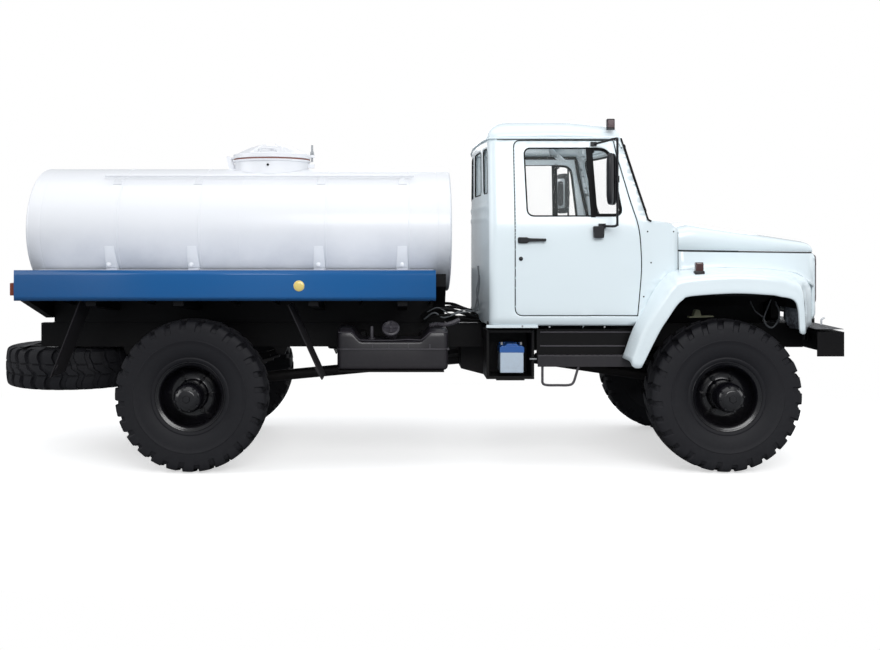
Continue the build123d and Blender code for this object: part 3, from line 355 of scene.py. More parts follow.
def sheet(outline, holes, surface, columns, rows, roll=0.0, hole_roll=0.0, flip=False):
    """A skin cut to an outline in the plane (a, b) and laid on surface(a, b, depth).

    Columns and rows are the lattice's values of a and b; a Delaunay triangulation joins the lattice to the
    edges. Where an edge is rolled by a radius, it sinks over its last few millimetres by
    depth = roll - sqrt(roll**2 - (roll - distance)**2).
    """
    columns, rows = np.array(columns, float), np.array(rows, float)
    spacing = np.array([np.median(np.diff(columns)), np.median(np.diff(rows))])
    loops = [dense(loop, spacing) for loop in (outline, *holes)]
    points, depths, edges, count = [], [], [], 0
    for number, loop in enumerate(loops):
        radius = hole_roll if number else roll
        steps = (0.0, 0.12, 0.4, 1.0) if radius else (0.0,)
        for share in steps:
            distance = share * radius
            ring = drawn_in(loop, -distance if number else distance) if distance else loop
            points.append(ring)
            depths.append(np.full(len(ring), radius - np.sqrt(radius**2 - (radius - distance) ** 2)))
            own = np.arange(len(ring)) + count
            edges += np.column_stack([own, np.roll(own, -1)]).tolist()
            count += len(ring)
    margin = loops if not (roll or hole_roll) else points
    lattice = np.stack(np.meshgrid(columns, rows), axis=-1).reshape(-1, 2)
    lattice = lattice[inside(lattice, loops)]
    fence = np.vstack(margin) / spacing
    squares = np.sum((fence[None] - (lattice / spacing)[:, None]) ** 2, axis=2)
    lattice = lattice[squares.min(1) > NEAR_EDGE**2]
    flat = np.vstack(points + [lattice])
    depth = np.concatenate(depths + [np.zeros(len(lattice))])
    made = delaunay_2d_cdt((flat * (1 / spacing)).tolist(), edges, [], 0, 1e-6)
    corners, triangles, origin = made[0], np.array(made[2]), made[3]
    where = np.array([tuple(corner) for corner in corners]) * spacing
    sunk = np.array([depth[own[0]] if own else 0.0 for own in origin])
    triangles = triangles[inside(where[triangles].mean(1), loops)]
    if flip:
        triangles = triangles[:, ::-1]
    return surface(where[:, 0], where[:, 1], sunk), [tuple(face) for face in triangles.tolist()]


def welded(shape, gap=0.05):
    """A shape whose points closer than the gap become one."""
    points, faces = shape
    _, first, same = np.unique(np.round(points / gap).astype(int), axis=0, return_index=True,
                               return_inverse=True)
    same = same.reshape(-1)
    changed = [tuple(dict.fromkeys(same[list(face)].tolist())) for face in faces]
    return points[first], [face for face in changed if len(face) > 2]


# ------------------------------------------------------------------ materials
class Signal:
    """A number that runs through a material's nodes; arithmetic on it adds Math nodes."""

    def __init__(self, finish, socket):
        self.finish = finish
        self.socket = socket

    def _math(self, operation, left, right=None):
        values = {0: left} if right is None else {0: left, 1: right}
        return self.finish.node("ShaderNodeMath", {"operation": operation}, values)

    def __add__(self, other):
        return self._math("ADD", self, other)

    def __sub__(self, other):
        return self._math("SUBTRACT", self, other)

    def __rsub__(self, other):
        return self._math("SUBTRACT", other, self)

    def __mul__(self, other):
        return self._math("MULTIPLY", self, other)

    def __pow__(self, other):
        return self._math("POWER", self, other)

    def sine(self):
        return self._math("SINE", self)

    def absolute(self):
        return self._math("ABSOLUTE", self)

    def least(self, other):
        return self._math("MINIMUM", self, other)

    __radd__ = __add__
    __rmul__ = __mul__


class Finish:
    """A material with one Principled shader, and the nodes that vary it over the surface."""

    def __init__(self, name, **fixed):
        self.material = bpy.data.materials.new(name)
        self.material.use_nodes = True
        self.tree = self.material.node_tree
        self.shader = self.tree.nodes["Principled BSDF"]
        for socket, value in fixed.items():
            self.shader.inputs[socket.replace("_", " ")].default_value = value
        self.where = self.node("ShaderNodeTexCoord", {}, {}, "Object")

    def node(self, kind, settings, values, output=0):
        """Any node: its type, its settings, and the values or links of its sockets."""
        made = self.tree.nodes.new(kind)
        for setting, value in settings.items():
            setattr(made, setting, value)
        for socket, value in values.items():
            if isinstance(value, Signal):
                self.tree.links.new(value.socket, made.inputs[socket])
            else:
                made.inputs[socket].default_value = value
        return Signal(self, made.outputs[output])

    def noise(self, scale, detail=4.0, roughness=0.55):
        """Cloudy noise from 0 to 1; its grain gets finer as the scale grows."""
        values = {"Vector": self.where, "Scale": scale, "Detail": detail, "Roughness": roughness}
        return self.node("ShaderNodeTexNoise", {}, values, "Fac")

    def stretched(self, x, y, z):
        """Object coordinates multiplied by three numbers."""
        return self.node("ShaderNodeVectorMath", {"operation": "MULTIPLY"}, {0: self.where, 1: (x, y, z)})

    def axis(self, letter):
        """One object coordinate, in metres of the frame."""
        return self.node("ShaderNodeSeparateXYZ", {}, {"Vector": self.where}, letter.upper())

    def between(self, value, low, high):
        """0 below low, 1 above high, smooth between."""
        settings = {"interpolation_type": "SMOOTHSTEP"}
        return self.node("ShaderNodeMapRange", settings, {"Value": value, "From Min": low, "From Max": high})

    def blend(self, amount, first, second):
        """One colour fading to another."""
        made = self.tree.nodes.new("ShaderNodeMix")
        made.data_type = "RGBA"
        for socket, value in ((0, amount), (6, first), (7, second)):
            if isinstance(value, Signal):
                self.tree.links.new(value.socket, made.inputs[socket])
            else:
                made.inputs[socket].default_value = value if socket == 0 else (*value, 1)
        return Signal(self, made.outputs[2])

    def drive(self, **sockets):
        """Link what varies to the shader's sockets."""
        for socket, value in sockets.items():
            self.tree.links.new(value.socket, self.shader.inputs[socket.replace("_", " ")])
        return self

    def bump(self, height, depth, strength=1.0):
        """Surface relief: height from 0 to 1 is depth millimetres."""
        values = {"Height": height, "Distance": depth / 1000, "Strength": strength}
        relief = self.node("ShaderNodeBump", {}, values, "Normal")
        return self.drive(Normal=relief)


def srgb(red, green, blue):
    """A colour given as 0-255 screen values, made linear."""
    return tuple((np.array([red, green, blue]) / 255) ** 2.2)


def painted(name, colour, dust_and_shade_colour, roughness, dust_and_shade=0.3, coat=0.0, low=0.6, high=1.6, shine=0.5, speckle=1.0):
    """Sprayed paint: fine orange peel, faint clouding, and a darker colour that thickens toward the ground:
    road grime on most paints, painted shade on the tank.
    """
    finish = Finish(name, Coat_Weight=coat, Coat_Roughness=0.08, Specular_IOR_Level=shine)
    clouds = finish.noise(2.2, 3.0)
    specks = finish.noise(38.0, 6.0, 0.7)
    height = finish.axis("z")
    lower = 1 - finish.between(height, low, high)
    patches = specks * speckle + 0.5 * (1 - speckle)
    # amount is how much of the darker colour shows: road grime on most paints, painted shade on the tank
    amount = (lower * clouds * patches * (4 * dust_and_shade)).least(1.0)
    paint = finish.blend(clouds * 0.25, colour, tuple(channel * 0.93 for channel in colour))
    finish.drive(Base_Color=finish.blend(amount, paint, dust_and_shade_colour))
    finish.drive(Roughness=(specks * 0.12 + amount * 0.35 + (roughness - 0.06)).least(0.95))
    return finish.bump(finish.noise(320.0, 2.0), 0.12, 0.25).material


# A paint's numbers are its roughness, the amount of its darker colour (road grime, and on the tank painted
# shade), clear coat, and the heights in metres below which that colour is full and above which there is none;
# then, where given, its shine and how far that colour is speckled.
DUST = srgb(120, 112, 100)
cab_paint = painted("cab_paint", srgb(233, 245, 250), srgb(170, 178, 180), 0.22, 0.12, 0.5, 0.9, 1.25)
# On the tank the darker colour is painted shade: a smooth blue-grey fade over the lower barrel, hardly
# speckled, standing for the shade under light from above
tank_paint = painted("tank_paint", srgb(240, 242, 246), srgb(168, 175, 188), 0.34, 0.6, 0.2, 1.25, 1.9,
                     speckle=0.15)
strap_paint = painted("strap_paint", srgb(236, 239, 244), srgb(150, 158, 172), 0.34, 0.1, 0.2, 1.3, 1.7)
skirt_paint = painted("skirt_paint", srgb(30, 96, 158), srgb(60, 84, 120), 0.3, 0.12, 0.2, 1.2, 1.45, 0.3)
chassis_paint = painted("chassis_paint", srgb(15, 15, 18), DUST, 0.42, 0.035, 0.0, 0.3, 1.3, 0.18)
wheel_paint = painted("wheel_paint", srgb(15, 15, 21), DUST, 0.24, 0.03, 0.2, 0.0, 0.9, 0.6)
cast_iron = painted("cast_iron", srgb(26, 26, 29), srgb(92, 80, 66), 0.55, 0.08, 0.0, 0.2, 1.2, 0.25)
tank_enamel = painted("tank_enamel", srgb(32, 30, 36), DUST, 0.36, 0.06, 0.1, 0.3, 1.3, 0.5)
# A lighter steel grey on step ribs and hoops, tank flanges, beads, caps and ribbed hoses: painted highlight
# where their edges catch the light
highlight_steel = painted("highlight_steel", srgb(66, 64, 70), DUST, 0.4, 0.1, 0.0, 0.3, 1.3, 0.5)
black_plastic = painted("black_plastic", srgb(24, 25, 30), srgb(80, 80, 80), 0.4, 0.06, 0.0, 0.4, 2.4, 0.4)
battery_case = painted("battery_case", srgb(194, 210, 226), srgb(120, 120, 118), 0.35, 0.25, 0.0, 0.5, 1.0)
rubber = painted("rubber", srgb(16, 16, 18), DUST, 0.65, 0.04, 0.0, 0.4, 1.4, 0.2)
seat_fabric = painted("seat_fabric", srgb(64, 66, 74), srgb(80, 80, 84), 0.85, 0.1, 0.0, 1.0, 2.0)
tyre_rubber = painted("tyre_rubber", srgb(30, 30, 34), srgb(84, 84, 86), 0.62, 0.09, 0.0, 0.0, 1.1, 0.25)
amber = painted("amber_lens", srgb(235, 170, 60), srgb(120, 100, 70), 0.2, 0.1, 0.4, 0.9, 1.5)

glass_finish = Finish("glass", Base_Color=(0.82, 0.9, 0.9, 1), IOR=1.45, Metallic=0.0)
glass_finish.drive(Roughness=glass_finish.noise(60.0, 3.0) * 0.05)
glass_finish.drive(Alpha=glass_finish.noise(3.0, 3.0) * 0.02 + 0.015)
glass = glass_finish.material

by_slot = {
    "cab_paint": cab_paint,
    "tank_paint": tank_paint,
    "skirt_paint": skirt_paint,
    "chassis_paint": chassis_paint,
    "wheel_paint": wheel_paint,
    "cast_iron": cast_iron,
    "tyre": tyre_rubber,
    "glass": glass,
    "black_plastic": black_plastic,
    "battery_case": battery_case,
    "seat_fabric": seat_fabric,
    "lamp_plastic": amber,
    "rubber": rubber,
}
slot_of_node = {part["node"]: part["material_slot"] for part in frame["record"]["subparts"]}
for node_name, node_slot in slot_of_node.items():
    node = frame["nodes"][node_name]
    node.data.materials.clear()
    node.data.materials.append(by_slot[node_slot])


def edged(node, finish, bevel):
    """A frame node's own shape: points within 0.05 mm merged, flat faces joined and edges softened."""
    source = frame["nodes"][node]
    mesh = source.data.copy()
    mesh.name = f"{node}_edged"
    solid = bmesh.new()
    solid.from_mesh(mesh)
    bmesh.ops.remove_doubles(solid, verts=solid.verts, dist=0.05 / 1000)
    bmesh.ops.dissolve_limit(solid, angle_limit=radians(1.5), verts=solid.verts, edges=solid.edges)
    solid.to_mesh(mesh)
    solid.free()
    obj = shown(f"{node}_edged", mesh)
    shaded(mesh, 32)
    softened_edges(obj, bevel, 32)
    mesh.materials.clear()
    mesh.materials.append(finish)
    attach(obj, source["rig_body"])
    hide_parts(node)


# ------------------------------------------------------------------ wheels
LUGS = 28
SPARE_HUB = (-1087, 0, 664)


def on_wheel(shape, axle_x, side):
    """A shape made round the Y axis, moved to its hub; the right side's is mirrored."""
    placed = shape if side > 0 else mirrored(shape)
    return placed[0] + (axle_x, side * WHEEL_Y, AXLE_HEIGHT), placed[1]


def lying(shape):
    """A shape made round the Y axis, laid flat with its outer side down in the spare wheel's place."""
    x, y, z = shape[0].T
    return np.column_stack([x, z, -y]) + SPARE_HUB, shape[1]


def tyre_shape():
    """A tyre with bars cut across its tread.

    Each point of the section is (u, r, depth): its place across the tyre, its radius, and how deep the gaps
    between the bars are cut there. radius = r - cut and u = u * (1 - 0.0012 * cut), where cut = depth * gap,
    and gap is 1 between two bars and 0 on a bar. Past |u| = 150 every other gap is only 0.15 as deep. The
    bars lean across the tread by 0.25 tanh(u / 18) + 0.1 sin(|u| / 22) of a pitch, so that the bars of the
    two sides stand half a pitch apart.
    """
    half = np.array([
        (119, 231, 0), (127, 240, 0), (133, 248, 0), (138, 258, 0), (140, 267, 0), (137, 276, 0),
        (146, 292, 0), (154, 322, 0), (159, 360, 0), (159, 388, 0), (161, 392, 0), (161, 396, 0),
        (158, 400, 0), (158, 425, 0), (156, 446, 0), (155, 458, 0), (154.5, 463, 14), (153, 480, 20),
        (149, 500, 22), (143, 516, 22), (134, 526, 22), (120, 531, 22), (96, 535, 22), (70, 537.5, 21),
        (52, 538.5, 20), (49, 538.8, 20), (45, 528, 9), (39, 528, 9), (35, 539.2, 18), (14, 540, 16),
        (4, 540, 16),
    ], float)
    rows = np.vstack([half, half[::-1] * (-1, 1, 1)])
    u, radius, depth = rows.T
    steps = np.array([0.0, 0.03, 0.30, 0.36, 0.42, 0.68, 0.95])
    gap_at = np.array([1.0, 1.0, 1.0, 0.0, 0.0, 0.0, 0.0])
    pitch = 2 * np.pi / LUGS
    lug = np.arange(LUGS)
    turn = (np.add.outer(lug, steps) * pitch).ravel()
    gap = np.tile(gap_at, LUGS)
    short = np.repeat(lug % 2, len(steps))
    lean = 0.25 * np.tanh(u / 18) + 0.1 * np.sin(np.abs(u) / 22)
    turn = turn[:, None] + lean[None, :] * pitch
    reach = np.where((np.abs(u) > 150)[None, :] & (short[:, None] > 0), 0.15, 1.0)
    cut = gap[:, None] * depth[None, :] * reach
    r = radius[None, :] - cut
    side = u[None, :] * (1 - 0.0012 * cut)
    return grid(np.stack([r * np.cos(turn), side, r * np.sin(turn)], axis=-1), around=True)


OUTER_DISH = [
    (272, 0), (272, 54), (270, 60), (262, 68), (256, 76), (244, 88), (232, 94), (214, 99), (200, 102),
    (190, 104), (60, 104), (10, 104), (4, 107), (0, 114), (0, 148), (3, 158), (9, 168), (20, 182), (33, 196),
    (44, 203), (56, 206), (100, 207), (112, 209), (120, 213), (126, 220), (130, 229), (133, 236),
    (136, 240), (137, 244), (134, 247), (130, 245), (126, 238), (119, 230),
]
INNER_DISH = [
    (-119, 230), (-130, 256), (-137, 262), (-137, 256), (-130, 244), (-116, 218), (-100, 213),
    (-12, 213), (6, 206), (16, 192), (4, 176), (-12, 166), (-46, 188), (-138, 190), (-138, 176),
    (-64, 174), (-62, 60), (-62, 0),
]
SPARE_DISH = OUTER_DISH[13:] + INNER_DISH[:11] + [(-8, 164), (-10, 112), (-6, 108), (0, 108)]


def hexagon(centre, radius, low, high, turn=0.0):
    """A nut's prism round the Y axis from low to high, with its rim chamfered."""
    profile = [(low, 0), (low, radius), (high - radius * 0.18, radius), (high, radius * 0.84), (high, 0)]
    return rotated(turned(profile, (0, 0, 0), "y", 6), "y", turn, centre)


def ring_of(shape_at, radius, count, start=0.0):
    """A small shape repeated on a circle in the XZ plane."""
    turns = start + np.arange(count) * 2 * np.pi / count
    return joined(*[shape_at((radius * np.cos(turn), 0, radius * np.sin(turn)), turn) for turn in turns])


tyre = tyre_shape()
dish = turned(OUTER_DISH + INNER_DISH, (0, 0, 0), "y", 96)
wheel_nuts = ring_of(lambda at, turn: hexagon(at, 17, -2, 24, turn), 130, 6)
wheel_studs = ring_of(lambda at, turn: hexagon(at, 9, 20, 33, turn), 130, 6)
hub_bolts = ring_of(lambda at, turn: hexagon(at, 9, 236, 258, turn), 84, 8, 0.2)
hub_cap = hexagon((0, 0, 0), 28, 268, 280)
rim_shape = joined(dish, wheel_nuts, wheel_studs, hub_bolts, hub_cap)
for wheel, axle_x, side in (
    ("front_right", WHEELBASE, -1),
    ("front_left", WHEELBASE, 1),
    ("rear_right", 0, -1),
    ("rear_left", 0, 1),
):
    piece(f"tread_{wheel}", on_wheel(tyre, axle_x, side), tyre_rubber, [f"tyre_{wheel}"], slot="tyre",
          body=f"wheel_{wheel}", angle=28)
    piece(f"dish_{wheel}", on_wheel(rim_shape, axle_x, side), wheel_paint, [f"rim_{wheel}"],
          body=f"wheel_{wheel}", angle=40)
piece("spare_tread", lying(tyre), tyre_rubber, ["spare_tyre"], slot="tyre", angle=28)
spare_dish = turned(SPARE_DISH + SPARE_DISH[:1], (0, 0, 0), "y", 96)
piece("spare_dish", lying(spare_dish), wheel_paint, ["spare_rim"], angle=40)

# ------------------------------------------------------------------ tank
TANK_REAR = -1275
TANK_FRONT = 1845
TANK_WIDE = 650
TANK_HIGH = 481
TANK_Z = 1722
HEAD_LAP = 24
MANHOLE_X = 458
MANHOLE_RADIUS = 284


def ellipse_point(x, turn, grow=0.0):
    """A point of the barrel: y = -wide sin(turn), z = middle + high cos(turn), so turn is 0 at the top."""
    y = -(TANK_WIDE + grow) * np.sin(turn)
    z = TANK_Z + (TANK_HIGH + grow) * np.cos(turn)
    return np.stack(np.broadcast_arrays(x, y, z), axis=-1)


def tank_barrel():
    """The rolled barrel with the manhole cut out of its top, in the plane of (x, turn).

    The hole's edge is x = manhole + radius cos, y = radius sin, brought to a turn by arcsin(y / wide).
    """
    rear, front = TANK_REAR + HEAD_LAP, TANK_FRONT - HEAD_LAP
    outline = [(rear, -np.pi), (front, -np.pi), (front, np.pi), (rear, np.pi)]
    turn = np.linspace(0, 2 * np.pi, 64, endpoint=False)
    hole = np.column_stack([MANHOLE_X + MANHOLE_RADIUS * np.cos(turn),
                            np.arcsin(MANHOLE_RADIUS * np.sin(turn) / TANK_WIDE)])
    stations = np.linspace(rear, front, 40)
    turns = np.linspace(-np.pi, np.pi, 97)
    return sheet(outline, [hole], lambda x, t, depth: ellipse_point(x, t), stations, turns, flip=True)


def tank_head(end, outward):
    """A dished head: its flange laps over the barrel, then rings of the ellipse shrink as they move outward.

    Each ring is (distance outward from the barrel's end, share of the ellipse's size).
    """
    ring = np.array([(-90, 1.0005), (-88, 1.0014), (-44, 1.0014), (0, 1.0014), (4, 1.0006), (8, 0.996),
                     (11, 0.989), (13, 0.975), (15, 0.94), (17, 0.85), (19, 0.6), (20, 0.3)])
    turn = np.linspace(0, 2 * np.pi, 96, endpoint=False)
    x = end + outward * ring[:, 0]
    points = np.stack([
        np.broadcast_to(x[:, None], (len(x), len(turn))),
        -TANK_WIDE * np.outer(ring[:, 1], np.sin(turn)),
        TANK_Z + TANK_HIGH * np.outer(ring[:, 1], np.cos(turn)),
    ], axis=-1)
    shape, faces = grid(points, along=True)
    faces.append(tuple(range(len(shape) - 1, len(shape) - len(turn) - 1, -1)))
    return (shape, faces) if outward < 0 else flipped((shape, faces))


TANK_FLOOR = 1419
BANDS = (-615, -12, 925, 1542)
SADDLES = (-676, -66, 872, 1491)
shell = joined(welded(tank_barrel()), tank_head(TANK_REAR, -1), tank_head(TANK_FRONT, 1))
piece("tank_skin", shell, tank_paint, ["tank_shell"], angle=50, wall=5)


BELT_HALF_WIDTH = 6
BELT_THICK = 4
BELT_ROUND = 2
deck_turn = np.arccos((TANK_FLOOR - TANK_Z) / (TANK_HIGH + BELT_THICK))


def barrel_belt(x):
    """A flat strip laid round the barrel from deck to deck, with its two outer corners cut off.

    Its section (across, up) is carried round the ellipse grown by up, at x + across.
    """
    across, up = np.array([
        (-BELT_HALF_WIDTH, 0), (-BELT_HALF_WIDTH, BELT_THICK - BELT_ROUND),
        (-BELT_HALF_WIDTH + BELT_ROUND, BELT_THICK), (BELT_HALF_WIDTH - BELT_ROUND, BELT_THICK),
        (BELT_HALF_WIDTH, BELT_THICK - BELT_ROUND), (BELT_HALF_WIDTH, 0),
    ]).T
    turn = np.linspace(-deck_turn, deck_turn, 60)[:, None]
    return capped(ellipse_point(x + across, turn, up))


belts = joined(*[barrel_belt(x) for x in BANDS])
piece("tank_belts", belts, tank_paint, ["tank_bands"])

# ------------------------------------------------------------------ cab
CAB_REAR = 2066
CAB_HALF = 1000
REAR_BOW = 40
CORNER = 64
REAR_RUN = CAB_HALF - CORNER
SIDE_START = CAB_REAR + REAR_BOW + CORNER
CORNER_END = SIDE_START - CORNER * np.pi / 2
REAR_MIDDLE = CORNER_END - REAR_RUN
SILL = 1034
DRIP = 2369
ROOF_TOP = 2538
COWL_FRONT = 3450
SCREEN_FOOT = 1788


def half_width(x, z):
    """The cab's half width.

    Upright below the belt; above it 1000 - lean * soft * ln(1 + exp((z - belt) / soft)); rolled under at
    the sill; and never more than the cowl's taper toward the hood, joined by a soft minimum.
    """
    upper = CAB_HALF - 0.2087 * 45 * np.log1p(np.exp(np.clip((z - 1752) / 45, -30, 30)))
    taper = CAB_HALF - 74 * np.clip((x - 3150) / 350, 0, None) ** 1.3
    least = -9 * np.log(np.exp(-upper / 9) + np.exp(-taper / 9))
    least += 9 * np.log(1 + np.exp(-abs(upper - taper) / 9))
    return least - 26 * np.clip((1096 - z) / 62, 0, 1) ** 2


def cab_wall(a, z, depth):
    """The right half of the cab's wall.

    a is x along the side; behind SIDE_START it runs round the rear corner and then along the bowed rear
    wall to its middle. Two pressed ribs cross the rear wall.
    """
    turn = np.clip((SIDE_START - a) / CORNER, 0, np.pi / 2)
    width = half_width(np.maximum(a, SIDE_START), z)
    radius = CORNER - depth
    across = np.clip((a - REAR_MIDDLE) / (CORNER_END - REAR_MIDDLE), 0, 1)
    rear = a < CORNER_END
    ribs = 7 * (np.exp(-(((z - 1885) / 16) ** 2)) + np.exp(-(((z - 1800) / 16) ** 2))) * (across < 0.93)
    y = -np.where(rear, (width - CORNER) * across, width - CORNER + radius * np.cos(turn))
    back = REAR_BOW * (1 - across**2) + ribs
    x = np.where(a > SIDE_START, a, SIDE_START - radius * np.sin(turn) - np.where(rear, back, 0))
    return np.column_stack([x, y, z])


def screen_x(y, z):
    """The windscreen's surface: it leans back with height and curves back toward the pillars."""
    spread = 162 + 48 * (z - 1799) / 549
    return 3354 - 0.284 * (z - 1790) - spread * (y / 1100) ** 2


def screen_wall(y, z, depth):
    """A point of the windscreen's surface, sunk straight back by a depth."""
    return np.column_stack([screen_x(y, z) - depth, y, z])


PILLAR_X = 3140.0
pillar_z = np.linspace(SCREEN_FOOT, DRIP, 12)
pillar_y = half_width(PILLAR_X, pillar_z)
pillar = np.column_stack([screen_x(pillar_y, pillar_z), pillar_z])
COWL_EDGE = [(3267, 1778), (3338, 1768), (3374, 1764), (3400, 1754), (3425, 1738), (COWL_FRONT, 1722)]
wing_seam = [(3128, SILL), (3176, 1104), (3230, 1190), (3282, 1259), (3330, 1325), (3372, 1368),
             (3410, 1392), (COWL_FRONT, 1402)]
cab_outline = [(REAR_MIDDLE, SILL)] + wing_seam + COWL_EDGE[::-1] + pillar.tolist() + [(REAR_MIDDLE, DRIP)]

DOOR_REAR, DOOR_FRONT = 2291, 3177
DOOR_FOOT, DOOR_TOP = 1108, 2352
door_front = smooth_path([(3150, DOOR_FOOT), (3164, 1250), (DOOR_FRONT, 1420), (3175, 1560), (3157, 1734),
                          (3108, 1905), (3048, 2139), (3022, 2240), (3010, 2310), (3002, DOOR_TOP)], 3)
door_rear = rounded([(2800, DOOR_TOP), (DOOR_REAR, DOOR_TOP), (DOOR_REAR, DOOR_FOOT), (2800, DOOR_FOOT)],
                    [1, 48, 52, 1])
door_outline = np.vstack([door_front, door_rear])
PANE_FOOT, PANE_TOP = 1810, 2297
window_outline = rounded([(2376, PANE_FOOT), (3050, PANE_FOOT), (2974, PANE_TOP), (2362, PANE_TOP)],
                         [52, 62, 84, 48], 7)


WINDOW_HALF = 854  # half the rear wall's width at the windows


def rear_window(low_y, high_y):
    """One of the rear wall's windows, in the plane of (a, z): y is stretched to the wall's full run."""
    low = REAR_MIDDLE + low_y * REAR_RUN / WINDOW_HALF
    high = REAR_MIDDLE + high_y * REAR_RUN / WINDOW_HALF
    return rounded([(low, 1977), (high, 1977), (high, 2301), (low, 2301)], 38)


rear_windows = [rear_window(92, 522), rear_window(650, 832)]


def stations(*runs):
    """Lattice values run by run: (start, end, count) each, where a run's end is the next one's start."""
    values = [np.linspace(*run)[:-1] for run in runs[:-1]]
    return np.concatenate(values + [np.linspace(*runs[-1])])


wall_columns = stations((REAR_MIDDLE, CORNER_END, 14), (CORNER_END, SIDE_START, 9),
                        (SIDE_START, COWL_FRONT, 22))
wall_rows = stations((SILL, 1100, 7), (1100, 1640, 9), (1640, 1940, 19), (1940, DRIP, 18))
door_columns = np.linspace(DOOR_REAR, DOOR_FRONT, 14)
DOOR_GAP = 6
right_wall = sheet(cab_outline, [drawn_in(door_outline, -DOOR_GAP)] + rear_windows, cab_wall, wall_columns,
                   wall_rows, hole_roll=5)

right_pillar = np.column_stack([-pillar_y, pillar_z])
screen_outline = np.vstack([right_pillar, right_pillar[::-1] * (-1, 1)])
glass_z = np.array([1850.0, 2328.0])
glass_y = half_width(PILLAR_X, glass_z) - 56
right_edge = np.column_stack([-glass_y, glass_z])
screen_hole = rounded(np.vstack([right_edge[:1], right_edge * (-1, 1), right_edge[1:]]), 70, 7)
screen_frame = sheet(screen_outline, [screen_hole], screen_wall, np.linspace(-990, 990, 23),
                     np.linspace(SCREEN_FOOT, DRIP, 9), hole_roll=8)


def cowl_top():
    """The panel between the windscreen's foot and the hood: rows run back to front, columns across.

    A row starts from the side's edge and is crowned by 10 (1 - y**2) sin(pi * share of the way forward).
    """
    side_edge = np.vstack([(pillar[0, 0], SCREEN_FOOT), COWL_EDGE])
    share = np.linspace(0, 1, len(side_edge))[:, None]
    y = np.linspace(-1, 1, 25)[None, :]
    x_side, z_side = side_edge[:, :1], side_edge[:, 1:]
    wide = half_width(x_side, z_side)
    start = screen_x(y * wide[0], SCREEN_FOOT)
    x = start + (x_side - x_side[0]) / (x_side[-1] - x_side[0]) * (COWL_FRONT - start)
    crown = 10 * (1 - y**2) * np.sin(np.pi * share)
    return grid(np.stack([x, y * wide + 0 * x, z_side + crown + 0 * x], axis=-1))


def roof():
    """The roof: a loop at the drip rail rises to the crown along r**n + g**m = 1 in every direction.

    The loop's points shrink toward the middle by r while they rise by g; n and m blend from the sides'
    to the rear's and the front's. The top falls toward the front by 56 * ((x - 2650) / 550)**1.3.
    """
    side_x = np.linspace(SIDE_START, pillar[-1, 0], 16)[1:-1]
    right = np.vstack([
        cab_wall(np.linspace(REAR_MIDDLE, SIDE_START, 26), np.full(26, float(DRIP)), 0),
        cab_wall(side_x, np.full(14, float(DRIP)), 0),
        screen_wall(np.linspace(-pillar_y[-1], 0, 12), np.full(12, float(DRIP)), 0),
    ])
    left = right[1:-1][::-1] * (1, -1, 1)
    loop = np.vstack([right, left])
    middle = np.array([2640.0, 0.0])
    reach = loop[:, :2] - middle
    along = reach[:, 0] / np.where(reach[:, 0] < 0, 574, 550)
    forward = along / np.maximum(1e-6, np.hypot(along, reach[:, 1] / 870))
    end = forward**2
    corner = np.where(forward > 0, 4 * end * (1 - end), 0.0)
    n = 3.9 * (1 - end) + 5.0 * end
    m = 2.8 * (1 - end) + np.where(forward > 0, 2.9, 1.5) * end - corner * 0.9
    rise = np.concatenate([np.linspace(0, np.pi / 2, 19)[:-1], [np.pi / 2 - 0.02]])[:, None]
    shrink = np.cos(rise) ** (2 / n)
    height = np.sin(rise) ** (2 / m)
    x = middle[0] + reach[:, 0] * shrink
    y = middle[1] + reach[:, 1] * shrink
    fall = 56 * np.clip((x - 2650) / 550, 0, 1) ** 1.3
    points = np.stack([x, y, DRIP + height * (ROOF_TOP - DRIP - fall)], axis=-1)
    shape, faces = flipped(grid(points, along=True))
    faces.append(tuple(range(len(shape) - len(loop), len(shape))))
    return shape, faces


cab_skin = welded(joined(both_sides(right_wall), screen_frame, cowl_top(), roof()))
piece("cab_skin", cab_skin, cab_paint, ["cab_roof", "cab_rear_wall", "cab_front"], angle=38, wall=24)
door_skin = sheet(door_outline, [window_outline], cab_wall, door_columns, wall_rows, roll=6, hole_roll=7)
SKIN_WALL = 4
DOOR_DEPTH = 33
BEAD_STEP = np.array([60.0, 60.0])


def on_wall(path, surface, depth=0.0):
    """A path in a wall's plane, laid on the wall at one depth."""
    path = np.array(path, float)
    return surface(path[:, 0], path[:, 1], np.full(len(path), float(depth)))


def edge_band(outline):
    """The upright edge between a door's skin and its inner panel: an outline repeated at growing depths."""
    loop = dense(outline, BEAD_STEP)
    rows = [on_wall(loop, cab_wall, depth) for depth in (SKIN_WALL, 14, 24, DOOR_DEPTH)]
    return grid(np.stack(rows), around=True)


def sunk_by(surface, extra):
    """The same wall, further in by a depth."""
    return lambda a, b, depth: surface(a, b, depth + extra)


inner_outline, inner_window = drawn_in(door_outline, 4), drawn_in(window_outline, -1)
inner_panel = sheet(inner_outline, [inner_window], sunk_by(cab_wall, DOOR_DEPTH), door_columns, wall_rows)
door_inside = joined(inner_panel, edge_band(inner_outline), edge_band(inner_window))
for side_name, to_side in SIDES:
    door = f"door_{side_name}"
    piece(f"door_skin_{side_name}", to_side(door_skin), cab_paint, [door], body=door, angle=38,
          wall=SKIN_WALL)
    piece(f"door_inside_{side_name}", to_side(door_inside), cab_paint, body=door, angle=38)

